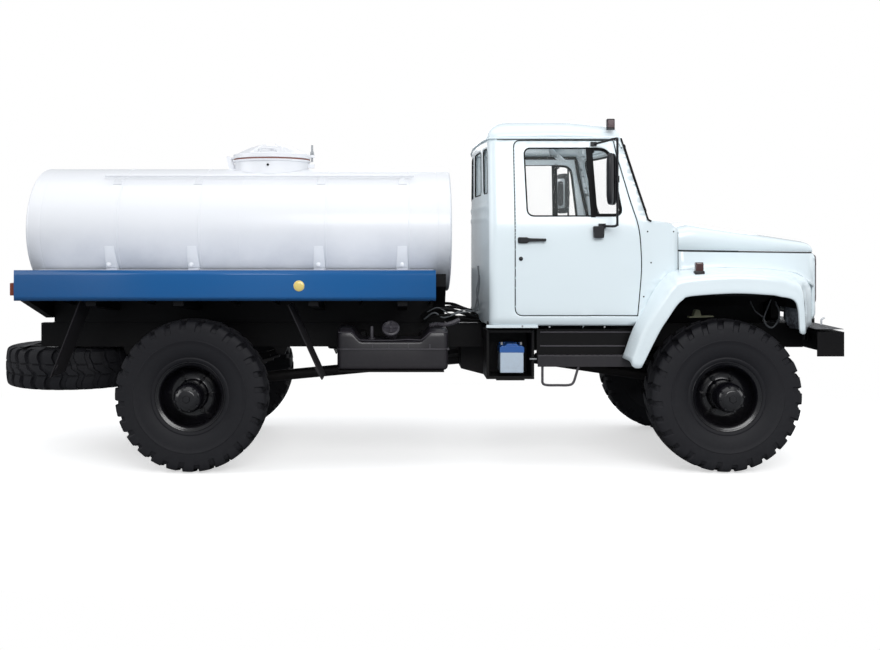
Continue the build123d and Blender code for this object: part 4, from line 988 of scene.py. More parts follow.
floor_line = np.array([(2100, SILL), (3110, SILL), (3262, 1296), (3338, 1384), (3440, 1408), (3440, 1716)])
floor_back = floor_line + np.array([(0, 26), (-16, 26), (-26, 12), (-12, 26), (-26, 26), (-26, 0)])
floor_pan = slab(np.vstack([floor_line, floor_back[::-1]]), -925, 925)
piece("cab_floor_pan", floor_pan, chassis_paint, ["cab_floor"], bevel=3)
sill_strip = both_sides(box((2086, -985, 1019), (2450, -970, 1040)))
piece("sill_strip", sill_strip, cab_paint)


# ------------------------------------------------------------------ cab glass and seals
def seal(outline, surface, radius, depth=0.0):
    """A rubber bead laid round an outline on a wall."""
    return tube(on_wall(dense(outline, BEAD_STEP), surface, depth), radius, 10, closed=True)


def pane(outline, surface, grow, depth, columns, rows):
    """A sheet of glass: an outline grown into its seal and laid on a wall at a depth."""
    return sheet(drawn_in(outline, -grow), [], sunk_by(surface, depth), columns, rows)


screen_glass = pane(screen_hole, screen_wall, 6, 10, np.linspace(-990, 990, 19), np.linspace(1800, 2360, 9))
rear_columns, rear_rows = np.linspace(REAR_MIDDLE, CORNER_END, 12), np.linspace(1950, 2320, 6)
rear_glass = [pane(outline, cab_wall, 4, 8, rear_columns, rear_rows) for outline in rear_windows]
piece("screen_pane", screen_glass, glass, ["cab_glass"], wall=5)
piece("rear_panes", both_sides(joined(*rear_glass)), glass, wall=4)
rear_seals = both_sides(joined(*[seal(outline, cab_wall, 6, 4) for outline in rear_windows]))
door_weather = both_sides(seal(drawn_in(door_outline, -DOOR_GAP / 2), cab_wall, 13, 48))
piece("door_weather_strips", door_weather, rubber)
piece("cab_seals", joined(rear_seals, seal(screen_hole, screen_wall, 11)), rubber)

# The divider between the main pane and the quarter light leans from lower_x at its foot to upper_x at its top
upper_x, lower_x = 2820, 2842
main_corners = [(2376, PANE_FOOT), (lower_x - 14, PANE_FOOT), (upper_x - 14, PANE_TOP), (2362, PANE_TOP)]
main_pane = rounded(main_corners, [52, 4, 4, 48], 6)
quarter_corners = [(lower_x + 14, PANE_FOOT), (3050, PANE_FOOT), (2974, PANE_TOP), (upper_x + 14, PANE_TOP)]
quarter_pane = rounded(quarter_corners, [6, 62, 84, 6], 7)
quarter_hole = drawn_in(rounded(quarter_corners, [30, 62, 84, 24], 7), 17)
bar_corners = [(lower_x - 17, 1800), (lower_x + 17, 1800), (upper_x + 17, 2305), (upper_x - 17, 2305)]
divider_bar = rounded(bar_corners, 2, 3)
columns, rows = np.linspace(2340, 3060, 10), np.linspace(1790, 2310, 9)
panes = joined(pane(main_pane, cab_wall, 4, 12, columns, rows),
               pane(quarter_hole, cab_wall, 4, 9, columns, rows))
quarter_frame = sheet(drawn_in(quarter_pane, -2), [quarter_hole], sunk_by(cab_wall, 2), columns, rows, roll=3,
                      hole_roll=4)
divider = sheet(divider_bar, [], sunk_by(cab_wall, -2), columns, rows, roll=4)
window_seal = seal(window_outline, cab_wall, 5.5, 1)
for side_name, to_side in SIDES:
    door = f"door_{side_name}"
    piece(f"door_panes_{side_name}", to_side(panes), glass, [f"door_glass_{side_name}"], body=door, wall=4)
    piece(f"door_frame_rubber_{side_name}", to_side(joined(quarter_frame, divider)), rubber, body=door,
          wall=12)
    piece(f"door_seal_{side_name}", to_side(window_seal), rubber, body=door)

# The drip rail, a thin dark tube under it as the rail's painted shadow, and the rubber in the corner between
# the pillar and the windscreen
rear_rail = stations((CORNER_END - 300, CORNER_END, 4), (CORNER_END, SIDE_START, 8))
rail_a = np.concatenate([[REAR_MIDDLE], rear_rail, np.linspace(SIDE_START + 60, 2960, 12)])
rail_path = on_wall(np.column_stack([rail_a, np.full(len(rail_a), DRIP + 1)]), cab_wall, -5)
rail_end = on_wall([(3006, 2368), (3034, 2352), (3052, 2326), (3060, 2304)], cab_wall)
rail_path = np.vstack([rail_path, rail_end - (0, 7, 0)])
rail_path[rail_a.size - 12:rail_a.size, 1] -= 6
under_path = rail_path[11:] - (0, -4, 8)
piece("drip_rail", both_sides(tube(smooth_path(rail_path, 3), 7, 10)), cab_paint)
piece("drip_shadow", both_sides(tube(smooth_path(under_path, 3), 3.5, 8)), rubber)
edge = np.column_stack([pillar[:, 0] + 3, -pillar_y - 1, pillar_z])
edge = np.vstack([edge[0] + (22, -1, -16), edge[0] + (10, -1, -8), edge])
piece("screen_edge_rubber", both_sides(tube(smooth_path(edge, 3), 6.5, 10)), rubber)

# ------------------------------------------------------------------ hood, wings, front panel
def body_y(x):
    """The half width of the hood and of the panels under it."""
    return 936 - 0.069 * (x - 3400)


def hood_skin():
    """The hood from its rear edge to its nose: each row runs from one lower edge over the crown to the other.

    The section is a superellipse, y = w * c**0.26 and z = low + h * s**0.3 for a turn from side to side,
    so that it stands upright at the sides and is nearly level on top; the nose rolls down at the front.
    """
    nose_x = 4400 + 68 * np.sin(np.linspace(0.2, 1.5, 8))
    x = np.concatenate([[3456, 3459, 3468, 3500], np.linspace(3540, 4380, 14), nose_x])
    nose = np.clip((x - 4400) / 70, 0, 1)
    top = np.interp(x, [3456, 3468, 3540, 4380, 4472], [1746, 1753, 1771, 1637, 1612])
    top -= 40 * (1 - np.sqrt(1 - nose**2))
    bottom = np.interp(x, [3456, 4472], [1570, 1555])
    turn = np.linspace(-np.pi / 2, np.pi / 2, 45)
    cosine, sine = np.cos(turn), np.sin(turn)
    across = np.sign(sine) * np.abs(sine) ** 0.26
    rise = np.clip(cosine, 0, None) ** 0.3
    lift = np.where(np.abs(across) > 0.9999, 0.0, rise)
    points = np.stack([
        x[:, None] - 34 * nose[:, None] * np.abs(across[None, :]) ** 6,
        body_y(x)[:, None] * across[None, :],
        bottom[:, None] + (top - bottom)[:, None] * lift[None, :],
    ], axis=-1)
    return grid(points)


piece("hood_skin", hood_skin(), cab_paint, ["hood"], body="hood", angle=30, wall=14)
hinge_barrel = turned([(-20, 0), (-20, 8), (20, 8), (20, 0)], (3448, 0, 1745), "y", 16)
hood_barrels = joined(*[moved(hinge_barrel, (0, y, 0)) for y in (-440, 440)],
                      *[box((3449, y - 18, 1736), (3478, y + 18, 1743)) for y in (-440, 440)])
piece("hood_barrels", hood_barrels, chassis_paint, body="hood")
hood_lip = np.array([(3458, 1567), (4430, 1553)], float)
hood_rubber = both_sides(joined(
    tube([(x, -body_y(x) + 8, z - 6) for x, z in hood_lip], 7, 8),
    tube([(3452, -924, 1420), (3452, -924, 1700)], 5, 8),
))
piece("hood_rubber", hood_rubber, rubber)


def wing_skin():
    """The right wing: a loft of rows, each a smooth curve of (x, y, z) round the arch.

    The rows run from the body, over the shoulder and down the lip to the arch's edge, and turn inward there.
    A smooth curve through the seven rows' matching points fills in between them.
    """
    body = [(3050, -962, 806), (3118, -985, 1010), (3196, -988, 1160), (3262, -980, 1275),
            (3340, -950, 1376), (3440, -930, 1428), (3800, -906, 1448), (4120, -884, 1434),
            (4330, -870, 1402), (4425, -864, 1310), (4432, -862, 1030)]
    inner = [(3060, -1022, 802), (3134, -1030, 1010), (3212, -1030, 1158), (3280, -1020, 1268),
             (3352, -1000, 1362), (3444, -990, 1412), (3800, -975, 1434), (4110, -960, 1420),
             (4262, -950, 1386), (4350, -950, 1310), (4372, -950, 1020)]
    shoulder = [(3078, -1086, 792), (3162, -1092, 1010), (3240, -1092, 1152), (3308, -1090, 1256),
                (3368, -1085, 1338), (3448, -1080, 1388), (3800, -1078, 1412), (4090, -1075, 1397),
                (4210, -1070, 1366), (4290, -1068, 1300), (4318, -1066, 1005)]
    crest = [(3088, -1112, 766), (3182, -1116, 1008), (3262, -1116, 1146), (3328, -1116, 1244),
             (3382, -1116, 1316), (3456, -1114, 1362), (3800, -1114, 1388), (4080, -1112, 1374),
             (4190, -1110, 1342), (4274, -1108, 1280), (4300, -1106, 992)]
    face = [(3112, -1120, 750), (3222, -1121, 1004), (3296, -1121, 1126), (3356, -1121, 1216),
            (3404, -1121, 1276), (3470, -1121, 1312), (3796, -1121, 1335), (4050, -1120, 1324),
            (4158, -1118, 1298), (4256, -1116, 1240), (4282, -1114, 984)]
    edge = [(3150, -1122, 752), (3272, -1122, 996), (3338, -1122, 1100), (3394, -1122, 1184),
            (3436, -1122, 1226), (3496, -1122, 1254), (3786, -1122, 1274), (4010, -1122, 1266),
            (4120, -1120, 1252), (4236, -1118, 1204), (4262, -1116, 990)]
    back = [(3168, -1104, 772), (3276, -1100, 994), (3342, -1100, 1097), (3398, -1100, 1180),
            (3440, -1100, 1221), (3500, -1100, 1248), (3786, -1100, 1267), (4006, -1100, 1259),
            (4114, -1100, 1245), (4230, -1100, 1200), (4256, -1100, 994)]
    rows = np.stack([smooth_path(row, 7) for row in (body, inner, shoulder, crest, face, edge, back)])
    return grid(smooth_path(rows.reshape(len(rows), -1), 5).reshape(-1, rows.shape[1], 3))


def wing_panel():
    """The upright panel between the flare and the hood.

    Its seven rows run from the foot, which curves out onto the flare, to the hood's edge. A row stands its
    rise above the foot line, never above the top line, and its out beyond the body's half width.
    """
    x = np.linspace(3456, 4434, 24)
    foot = np.interp(x, [3456, 3800, 4120, 4330, 4434], [1430, 1448, 1434, 1402, 1310])
    top = np.interp(x, [3456, 4434], [1553, 1540])
    rise = np.array([-6, 0, 8, 22, 44, 0, 0])
    out = np.array([16, 9, 4, 1, 0, 0, -10])
    z = foot[:, None] + rise
    z[:, 5] = top - 4
    z[:, 6] = top
    z = np.minimum(z, top[:, None])
    y = -(body_y(x)[:, None] + out)
    return flipped(grid(np.stack([x[:, None] + 0 * z, y, z], axis=-1)))


piece("wing_flares", both_sides(wing_skin()), cab_paint, ["wings"], angle=50, wall=9)
piece("wing_panels", both_sides(wing_panel()), cab_paint, angle=40, wall=9)


def inner_arch():
    """The dark inner wheelhouse between the arch and the engine bay: the arch's line, repeated inward.

    Each row is (y, share): where the arch is above 1250, z = 1250 + (top - 1250) * share.
    """
    x = np.array([3330, 3372, 3420, 3500, 3650, 3800, 3950, 4100, 4180, 4236, 4250], float)
    top = np.array([1190, 1290, 1352, 1384, 1404, 1408, 1402, 1386, 1350, 1270, 1160], float)
    y, share = np.array([(1090, 0.0), (1085, 0.5), (1060, 0.85), (940, 1.0), (700, 1.0), (640, 0.6),
                         (630, -0.6)]).T[:, :, None]
    foot = np.minimum(top, 1250)
    return flipped(grid(np.stack(np.broadcast_arrays(x, -y, foot + (top - foot) * share), axis=-1)))


piece("inner_arches", both_sides(inner_arch()), rubber, wall=3)


NOSE_FOOT, NOSE_TOP = 1075, 1545
NOSE_HALF, NOSE_FLAT = 866, 826


def nose_wall(y, z, depth):
    """The front panel: bowed forward in the middle, rolled back at its sides and at its top and foot.

    x = 4470 + 40 (1 - (y / 830)**2) - 30 side**1.6 - 14 top**2 - 12 foot**2, where side, top and foot each
    grow from 0 to 1 over the last few millimetres.
    """
    side = np.clip((np.abs(y) - NOSE_FLAT) / (NOSE_HALF - NOSE_FLAT), 0, 1)
    x = 4470 + 40 * (1 - (y / 830) ** 2) * (np.abs(y) < 830) - 30 * side**1.6
    x = x - 14 * np.clip((z - 1522) / 24, 0, 1) ** 2 - 12 * np.clip((1100 - z) / 25, 0, 1) ** 2
    return np.column_stack([x - depth, y, z])


nose_outline = [(-NOSE_HALF, NOSE_FOOT), (NOSE_HALF, NOSE_FOOT), (NOSE_HALF, NOSE_TOP),
                (-NOSE_HALF, NOSE_TOP)]
grille_hole = rounded([(-820, 1196), (820, 1196), (820, 1526), (-820, 1526)], 30)
nose_columns = stations((-NOSE_HALF, -NOSE_FLAT, 6), (-NOSE_FLAT, NOSE_FLAT, 26), (NOSE_FLAT, NOSE_HALF, 6))
nose = sheet(nose_outline, [grille_hole], nose_wall, nose_columns, np.linspace(NOSE_FOOT, NOSE_TOP, 14),
             hole_roll=6)
piece("front_skin", nose, cab_paint, ["front_panel"], wall=14)

grille_frame = sheet(drawn_in(grille_hole, -7), [drawn_in(grille_hole, 20)], sunk_by(nose_wall, -7),
                     nose_columns, np.linspace(1180, NOSE_TOP, 10), roll=4, hole_roll=4)
bar_paths = [on_wall([(y, z) for y in np.linspace(-800, 800, 9)], nose_wall, 14)
             for z in np.linspace(1236, 1486, 7)]
uprights = [on_wall([(y, 1212), (y, 1510)], nose_wall, 12) for y in (-545, 545)]
bars = joined(*[tube(smooth_path(path, 3), 8, 8) for path in bar_paths],
              *[tube(path, 11, 8) for path in uprights])
grille_brown = painted("grille_plastic", srgb(74, 52, 56), srgb(96, 84, 80), 0.4, 0.1, 0.1, 0.9, 1.5)
piece("grille_frame", grille_frame, grille_brown, ["grille"], slot="black_plastic", wall=10)
piece("grille_bars", bars, black_plastic)

reflector = painted("reflector", srgb(196, 200, 206), srgb(120, 120, 120), 0.15, 0.05, 0.6, 0.9, 1.5)
HEADLAMP = (0, -680, 1361)
lens_profile = [(4478, 0), (4481, 40), (4479, 70), (4472, 88), (4466, 92)]
bowl_profile = [(4430, 0), (4430, 102), (4464, 102), (4470, 98), (4468, 88), (4456, 62), (4446, 30),
                (4440, 0)]
head_lens = both_sides(turned(lens_profile, HEADLAMP, "x", 40))
head_bowl = both_sides(turned(bowl_profile, HEADLAMP, "x", 40))
piece("headlamp_lenses", head_lens, glass, wall=3)
piece("headlamp_bowls", head_bowl, reflector, slot="lamp_plastic")


# ------------------------------------------------------------------ small lamps
def lamp_box(low, high, soft=6):
    """A lamp's body with its upper edges drawn in: rings of its outline, each (z, share of its size)."""
    (x0, y0, z0), (x1, y1, z1) = low, high
    outline = rounded([(x0, y0), (x1, y0), (x1, y1), (x0, y1)], soft, 4)
    centre = outline.mean(0)
    rings = [(z0, 1.0), (z1 - soft, 1.0), (z1 - soft * 0.3, 0.96), (z1, 0.86)]
    points = np.stack([np.column_stack([centre + (outline - centre) * share, np.full(len(outline), z)])
                       for z, share in rings])
    return flipped(capped(points))


dark_lens = painted("dark_lens", srgb(70, 44, 44), srgb(70, 60, 60), 0.18, 0.08, 0.6, 0.9, 1.5)
pale_amber = painted("pale_amber", srgb(238, 214, 128), srgb(150, 120, 80), 0.2, 0.1, 0.4, 0.9, 1.5)
for lamp_name, low, high, soft, lamp_finish, lamp_slot in (
    ("roof_lamp_bodies", (2955, -898, 2430), (3012, -850, 2508), 9, black_plastic, "black_plastic"),
    ("roof_lamp_lenses", (2958, -903, 2446), (3009, -892, 2500), 5, grille_brown, "lamp_plastic"),
    ("wing_lamp_bases", (3537, -1082, 1396), (3605, -1026, 1424), 8, black_plastic, "black_plastic"),
    ("wing_lamp_lenses", (3542, -1078, 1420), (3599, -1030, 1484), 12, dark_lens, "lamp_plastic"),
):
    piece(lamp_name, both_sides(lamp_box(low, high, soft)), lamp_finish, slot=lamp_slot)
marker = turned([(0, 0), (0, 37), (5, 38), (10, 33), (13, 18), (14, 0)], (775, 1149, 1322), "y", 36)
side_markers = both_sides(mirrored(marker))
tail_lamps = both_sides(box((-1243, -1109, 1253), (-1201, -971, 1341)))
piece("side_markers", side_markers, pale_amber, ["lamps"], slot="lamp_plastic", angle=40)
tail_lens = painted("tail_lens", srgb(132, 66, 50), srgb(100, 80, 70), 0.2, 0.1, 0.5, 0.9, 1.5)
piece("tail_lamps", tail_lamps, tail_lens, slot="lamp_plastic", bevel=5)


# ------------------------------------------------------------------ door fittings and mirrors
MIRROR = (2940, -1150, 1883)
MIRROR_TURN = radians(-23)


def mirror_head():
    """The mirror's case: a superellipsoid on its foot, turned outward.

    (x, y) = (23, 95) * cos(level)**0.36 * (cos, sin)(about)**0.5 and z = 178.5 + 178.5 * sin(level)**0.42,
    where a power keeps its number's sign.
    """
    level = np.linspace(-np.pi / 2, np.pi / 2, 25)[:, None]
    about = np.linspace(0, 2 * np.pi, 40, endpoint=False)[None, :]
    girth = np.clip(np.cos(level), 1e-4, None) ** 0.36
    shape = grid(np.stack([
        23 * girth * np.sign(np.cos(about)) * np.abs(np.cos(about)) ** 0.5,
        95 * girth * np.sign(np.sin(about)) * np.abs(np.sin(about)) ** 0.5,
        178.5 + 178.5 * np.sign(np.sin(level)) * np.abs(np.sin(level)) ** 0.42 + 0 * about,
    ], axis=-1), around=True)
    return rotated(shape, "z", MIRROR_TURN, MIRROR)


def fittings(side_name, to_side):
    """Handle, lock, side lamp and mirror of one door."""
    door = f"door_{side_name}"

    def fit(name, shape, finish, **options):
        return piece(f"{name}_{side_name}", to_side(shape), finish, body=door, **options)

    plate = slab(rounded([(2306, 1617), (2378, 1617), (2378, 1660), (2306, 1660)], 12), -1009, -999)
    grip = slab(rounded([(2314, 1622), (2372, 1622), (2384, 1628), (2502, 1630), (2504, 1650), (2384, 1653),
                         (2372, 1657), (2314, 1657)], 6), -1029, -1016)
    stems = joined(box((2320, -1018, 1626), (2350, -1004, 1652)),
                   box((2478, -1018, 1632), (2500, -999, 1648)))
    fit("handle", joined(plate, grip, stems), black_plastic, bevel=2)
    lock = turned([(-1001, 0), (-1001, 15), (-1008, 13), (-1010, 8), (-1010, 0)], (2328, 0, 1508), "y", 24)
    fit("lock", lock, black_plastic, angle=40)
    side_lamp = slab(rounded([(2838, 1654), (2908, 1654), (2912, 1738), (2834, 1738)], 12), -1044, -998)
    fit("side_lamp", side_lamp, black_plastic, bevel=5)
    fit("mirror_head", mirror_head(), black_plastic, replaces=[f"mirror_{side_name}"])
    post = [(2863, -893, 2327), (2900, -955, 2333), (2972, -1105, 2346), (2983, -1119, 2338),
            (2985, -1120, 2300), (2985, -1120, 1790), (2983, -1119, 1748), (2968, -1100, 1736),
            (2930, -1040, 1737), (2904, -1004, 1738)]
    clamp = joined(tube([(2950, -1128, 2063), (2984, -1120, 2063)], 13, 10),
                   turned([(2040, 0), (2040, 15), (2086, 15), (2086, 0)], (2985, -1120, 0), "z", 16))
    feet = joined(box((2838, -904, 2312), (2880, -886, 2342)), box((2876, -1016, 1722), (2924, -998, 1756)))
    fit("mirror_post", joined(tube(smooth_path(post, 5), 8.5, 10), clamp, feet), black_plastic)
    silver = painted(f"mirror_glass_{side_name}", srgb(190, 200, 205), srgb(120, 120, 120), 0.1, 0.05, 0.5,
                     1.5, 2.5)
    flat = rounded([(-70, 46), (70, 46), (70, 312), (-70, 312)], 30, 6)
    mirror_glass = np.column_stack([np.full(len(flat), -22.5), flat]), [tuple(range(len(flat)))[::-1]]
    fit("mirror_glass", rotated(mirror_glass, "z", MIRROR_TURN, MIRROR), silver, slot="glass", wall=2)


for side_name, to_side in SIDES:
    fittings(side_name, to_side)


# ------------------------------------------------------------------ bumper plate, tow pins, inside the arch
def tread_plate(finish):
    """Raised lozenges on steel: two families of short bars cross at right angles in alternate cells."""
    u = finish.stretched(38.0, 38.0, 38.0)
    across = finish.node("ShaderNodeSeparateXYZ", {}, {"Vector": u}, "X")
    along = finish.node("ShaderNodeSeparateXYZ", {}, {"Vector": u}, "Y")
    first = ((across + along) * 3.1416).sine().absolute()
    second = ((across - along) * 3.1416).sine().absolute()
    return (first * second) ** 3.0


plate_finish = Finish("tread_plate", Specular_IOR_Level=0.5)
plate_marks = tread_plate(plate_finish)
plate_worn = plate_finish.between(plate_finish.noise(14.0, 5.0, 0.6) * 0.5 + plate_marks * 0.6, 0.3, 0.75)
plate_finish.drive(Base_Color=plate_finish.blend(plate_worn, srgb(46, 46, 50), srgb(128, 130, 134)))
plate_finish.drive(Roughness=0.6 - plate_worn * 0.25)
plate_finish.bump(plate_marks, 2.0, 0.9)
bumper_top = slab([(4395, -1046), (4588, -1046), (4612, -600), (4620, 0), (4612, 600), (4588, 1046),
                   (4395, 1046)], 1013, 1016, "xy")
piece("bumper_plate", bumper_top, plate_finish.material, slot="chassis_paint", bevel=1)
pins = joined(*[tube(smooth_path([(4585, y, 1014), (4585, y, 1046), (4590, y + 4, 1056), (4606, y + 20, 1061),
                                  (4618, y + 32, 1063)], 4), 7, 8) for y in (-640, 640)])
piece("bumper_pins", pins, reflector, slot="cast_iron")
brake_hose = [(4196, -690, 1205), (4164, -694, 1128), (4142, -698, 1069), (4160, -700, 1018),
              (4202, -700, 1000), (4244, -698, 1047), (4256, -694, 1113), (4228, -690, 1190)]
thin_hose = [(4060, -640, 1190), (4090, -660, 1120), (4140, -680, 1075)]
hose_grey = painted("hose_grey", srgb(96, 100, 104), srgb(90, 84, 76), 0.5, 0.2, 0.0, 0.5, 1.4, 0.4)
arch_hoses = joined(tube(smooth_path(brake_hose, 5), 6, 8), tube(smooth_path(thin_hose, 5), 5, 8))
piece("arch_hoses", both_sides(arch_hoses), hose_grey, slot="rubber")


def arch_end_wall(y, z, depth):
    """The upright wall in front of the wheel: it leans forward by 0.16 of the way out."""
    return np.column_stack([4262 + 0.16 * (-y - 860), y, z])


arch_end = [(-1090, 1010), (-1090, 1200), (-1050, 1300), (-820, 1330), (-800, 1075), (-900, 1010)]
arch_ends = both_sides(sheet(arch_end, [], arch_end_wall, np.linspace(-1090, -800, 8),
                             np.linspace(1010, 1330, 8)))
# The walls in front of the front wheels get a grey-blue paint, heavily darkened and mottled: painted shade
# for the inside of the wheel arch
arch_painted_shade = painted("arch_painted_shade", srgb(160, 170, 180), srgb(60, 62, 68), 0.5, 0.9, 0.0, 0.9, 1.9, 0.3)
piece("arch_ends", arch_ends, arch_painted_shade, slot="cab_paint", wall=4)
bottle_white = painted("bottle_plastic", srgb(176, 180, 150), srgb(110, 104, 90), 0.5, 0.3, 0.0, 0.9, 1.4,
                       0.3)
bottle = joined(slab(rounded([(3620, 1062), (3806, 1070), (3800, 1080), (3624, 1074)], 4), -600, -530),
                slab(rounded([(3652, 1074), (3712, 1074), (3700, 1122), (3666, 1122)], 8), -598, -540))
piece("washer_bottle", both_sides(bottle), bottle_white, slot="battery_case", bevel=3)

# ------------------------------------------------------------------ tank fittings
def strap(x, low_z, high_z, low_half, high_half, proud):
    """A tapering strap up one side of the barrel: its section shrinks and thins as it climbs the ellipse."""
    low_turn, high_turn = np.arccos((np.array([low_z, high_z]) - TANK_Z) / TANK_HIGH)
    turn = np.linspace(low_turn, high_turn, 14)
    share = np.linspace(0, 1, 14)
    half = (low_half + (high_half - low_half) * share)[:, None]
    across = np.array([-1, -1, -0.84, 0.84, 1, 1])[None, :] * half
    up = np.array([-3, proud * 0.6, proud, proud, proud * 0.6, -3])[None, :] * (1 - 0.5 * share[:, None] ** 3)
    points = np.stack([x + across, -(TANK_WIDE + up) * np.sin(turn)[:, None],
                       TANK_Z + (TANK_HIGH + up) * np.cos(turn)[:, None]], axis=-1)
    return capped(points)


straps = joined(*[both_sides(strap(x, 1420, 1596, 46, 34, 10)) for x in SADDLES])
strap_bolt = mirrored(turned([(622, 0), (622, 15), (640, 15), (643, 10), (643, 0)], (0, 0, 1462), "y", 12))
strap_bolts = joined(*[both_sides(moved(strap_bolt, (x, 0, 0))) for x in SADDLES])
cradle = [(-600, 1410), (-600, 1240), (600, 1240), (600, 1410), (540, 1432), (380, 1330), (0, 1236),
          (-380, 1330), (-540, 1432)]
under_saddles = joined(*[slab(cradle, x - 40, x + 40, "yz") for x in SADDLES])
piece("tank_straps", joined(straps, strap_bolts), strap_paint, ["tank_saddles"], slot="tank_paint", angle=40)
piece("tank_cradles", under_saddles, tank_paint, bevel=2)
seam_turn = np.linspace(0, 2 * np.pi, 96, endpoint=False)
seams = joined(*[tube(ellipse_point(x, seam_turn, grow), radius, 8, closed=True)
                 for x, grow, radius in ((TANK_REAR, -1.0, 4.0), (TANK_FRONT, -1.0, 4.0), (285, -0.5, 2.2))])
piece("tank_seams", seams, tank_paint)

RAIL_Y, RAIL_Z = 445, 2126
rail = tube([(-751, -RAIL_Y, RAIL_Z), (1575, -RAIL_Y, RAIL_Z), (1581, -RAIL_Y, RAIL_Z)], [12, 12, 9], 12)
feet = []
for x in (-658, -49, 878, 1494):
    foot = [(x - 30, RAIL_Z - 58), (x + 30, RAIL_Z - 58), (x + 26, RAIL_Z - 40), (x + 12, RAIL_Z - 6),
            (x - 12, RAIL_Z - 6), (x - 26, RAIL_Z - 40)]
    feet.append(slab(foot, -RAIL_Y - 5, -RAIL_Y + 5))
    feet.append(box((x - 32, -RAIL_Y - 22, RAIL_Z - 66), (x + 32, -RAIL_Y + 24, RAIL_Z - 56)))
piece("tank_rails", both_sides(rail), tank_paint, ["shoulder_rails"])
piece("tank_rail_feet", both_sides(joined(*feet)), tank_paint, bevel=2)

NECK_TOP = 2270
LID_RIM = 304
neck = turned([(2120, MANHOLE_RADIUS), (2120, 290), (NECK_TOP - 16, 290), (NECK_TOP - 13, LID_RIM),
               (NECK_TOP, 306), (NECK_TOP, MANHOLE_RADIUS), (2120, MANHOLE_RADIUS)],
              (MANHOLE_X, 0, 0), "z", 72)
neck_lug = [(126, 2186), (176, 2186), (134, 2296), (124, 2306), (112, 2306), (102, 2296)]
neck_lugs = joined(*[slab(neck_lug, y - 4, y + 4) for y in (-48, 48)], box((746, -13, 2214), (795, 13, 2246)))
lifting_eye = turned([(-8, 0), (-8, 9), (0, 12), (14, 12), (16, 0)], (MANHOLE_X, -240, 2196), "z", 12)
neck_plug = turned([(-296, 0), (-296, 9), (-288, 10), (-280, 10), (-280, 0)], (MANHOLE_X, 0, 2222), "y", 14)
piece("neck_ring", neck, tank_paint, ["manhole_neck"], angle=40)
piece("neck_lugs", joined(neck_lugs, both_sides(lifting_eye)), tank_paint, bevel=2)
piece("neck_plug", neck_plug, rubber)
gasket_red = painted("gasket_red", srgb(150, 96, 84), srgb(120, 110, 104), 0.7, 0.3, 0.0, 2.0, 2.6, 0.3)
gasket = turned([(0, 286), (0, 299), (5, 302), (10, 300), (10, 286), (0, 286)],
                (MANHOLE_X, 0, NECK_TOP), "z", 72)
piece("neck_gasket", gasket, gasket_red, slot="rubber")

lid_low = NECK_TOP + 12
lid = turned([(0, 0), (0, LID_RIM - 2), (2, LID_RIM), (30, LID_RIM), (34, LID_RIM - 4), (37, 282), (46, 262),
              (64, 226), (88, 170), (104, 120), (113, 70), (117, 30), (118, 0)],
             (MANHOLE_X, 0, lid_low), "z", 72)
rib_out, rib_up = np.array([(276, 38), (226, 66), (170, 90), (70, 115)], float).T
ribs = []
for angle in np.radians([0, 60, 120, 180, 240, 300]):
    rib = np.column_stack([rib_out * np.cos(angle), rib_out * np.sin(angle), rib_up])
    ribs.append(tube(rib + (MANHOLE_X, 0, lid_low), 5, 8))
knob = turned([(2335, 0), (2335, 16), (2340, 20), (2352, 20), (2357, 15), (2358, 0)], (486, -232, 0), "z", 16)
handle = tube(smooth_path([(390, -262, 2316), (392, -278, 2342), (430, -284, 2350), (480, -284, 2350),
                           (518, -280, 2342), (522, -262, 2316)], 4), 7, 8)
lid_arms = joined(*[box((118, y - 9, 2283), (184, y + 9, 2297)) for y in (-24, 24)],
                  turned([(-38, 0), (-38, 11), (38, 11), (38, 0)], (118, 0, 2290), "y", 16))
lid_edge = MANHOLE_X + LID_RIM
fork = joined(*[box((lid_edge - 18, y - 7, lid_low + 14), (lid_edge + 34, y + 7, lid_low + 34))
                for y in (-15, 15)])
bolt_foot = (lid_edge + 15, 0, lid_low)
swing_bolt = joined(
    turned([(-20, 0), (-20, 8), (112, 8), (115, 5), (115, 0)], bolt_foot, "z", 12),
    turned([(34, 0), (34, 17), (52, 15), (66, 11), (68, 0)], bolt_foot, "z", 12),
    moved(box((-5, -30, 46), (5, 30, 66)), bolt_foot),
)
piece("lid_dome", joined(lid, knob), tank_paint, ["manhole_lid"], body="manhole_lid", angle=34)
piece("lid_ribs", joined(handle, *ribs), tank_paint, body="manhole_lid")
piece("lid_arms", joined(lid_arms, fork), tank_paint, body="manhole_lid", bevel=2)
zinc = painted("zinc", srgb(160, 164, 168), srgb(110, 104, 98), 0.35, 0.3, 0.0, 0.6, 2.6, 0.6)
piece("swing_bolt", swing_bolt, zinc, slot="tank_paint", body="manhole_lid", angle=40)
outlet = turned([(-1420, 48), (-1420, 80), (-1404, 80), (-1404, 55), (-1250, 55), (-1250, 48), (-1420, 48)],
                (0, 0, 1330), "x", 40)
outlet_bolt = turned([(-1428, 0), (-1428, 9), (-1420, 9), (-1396, 9), (-1396, 0)], (0, 0, 1330), "x", 6)
outlet_bolts = joined(*[moved(outlet_bolt, (0, 67 * np.cos(angle), 67 * np.sin(angle)))
                        for angle in np.radians([45, 135, 225, 315])])
piece("outlet_tube", joined(outlet, outlet_bolts), tank_paint, ["outlet_pipe"], angle=40)


# ------------------------------------------------------------------ deck
DECK_REAR, DECK_FRONT = -1199, 1723


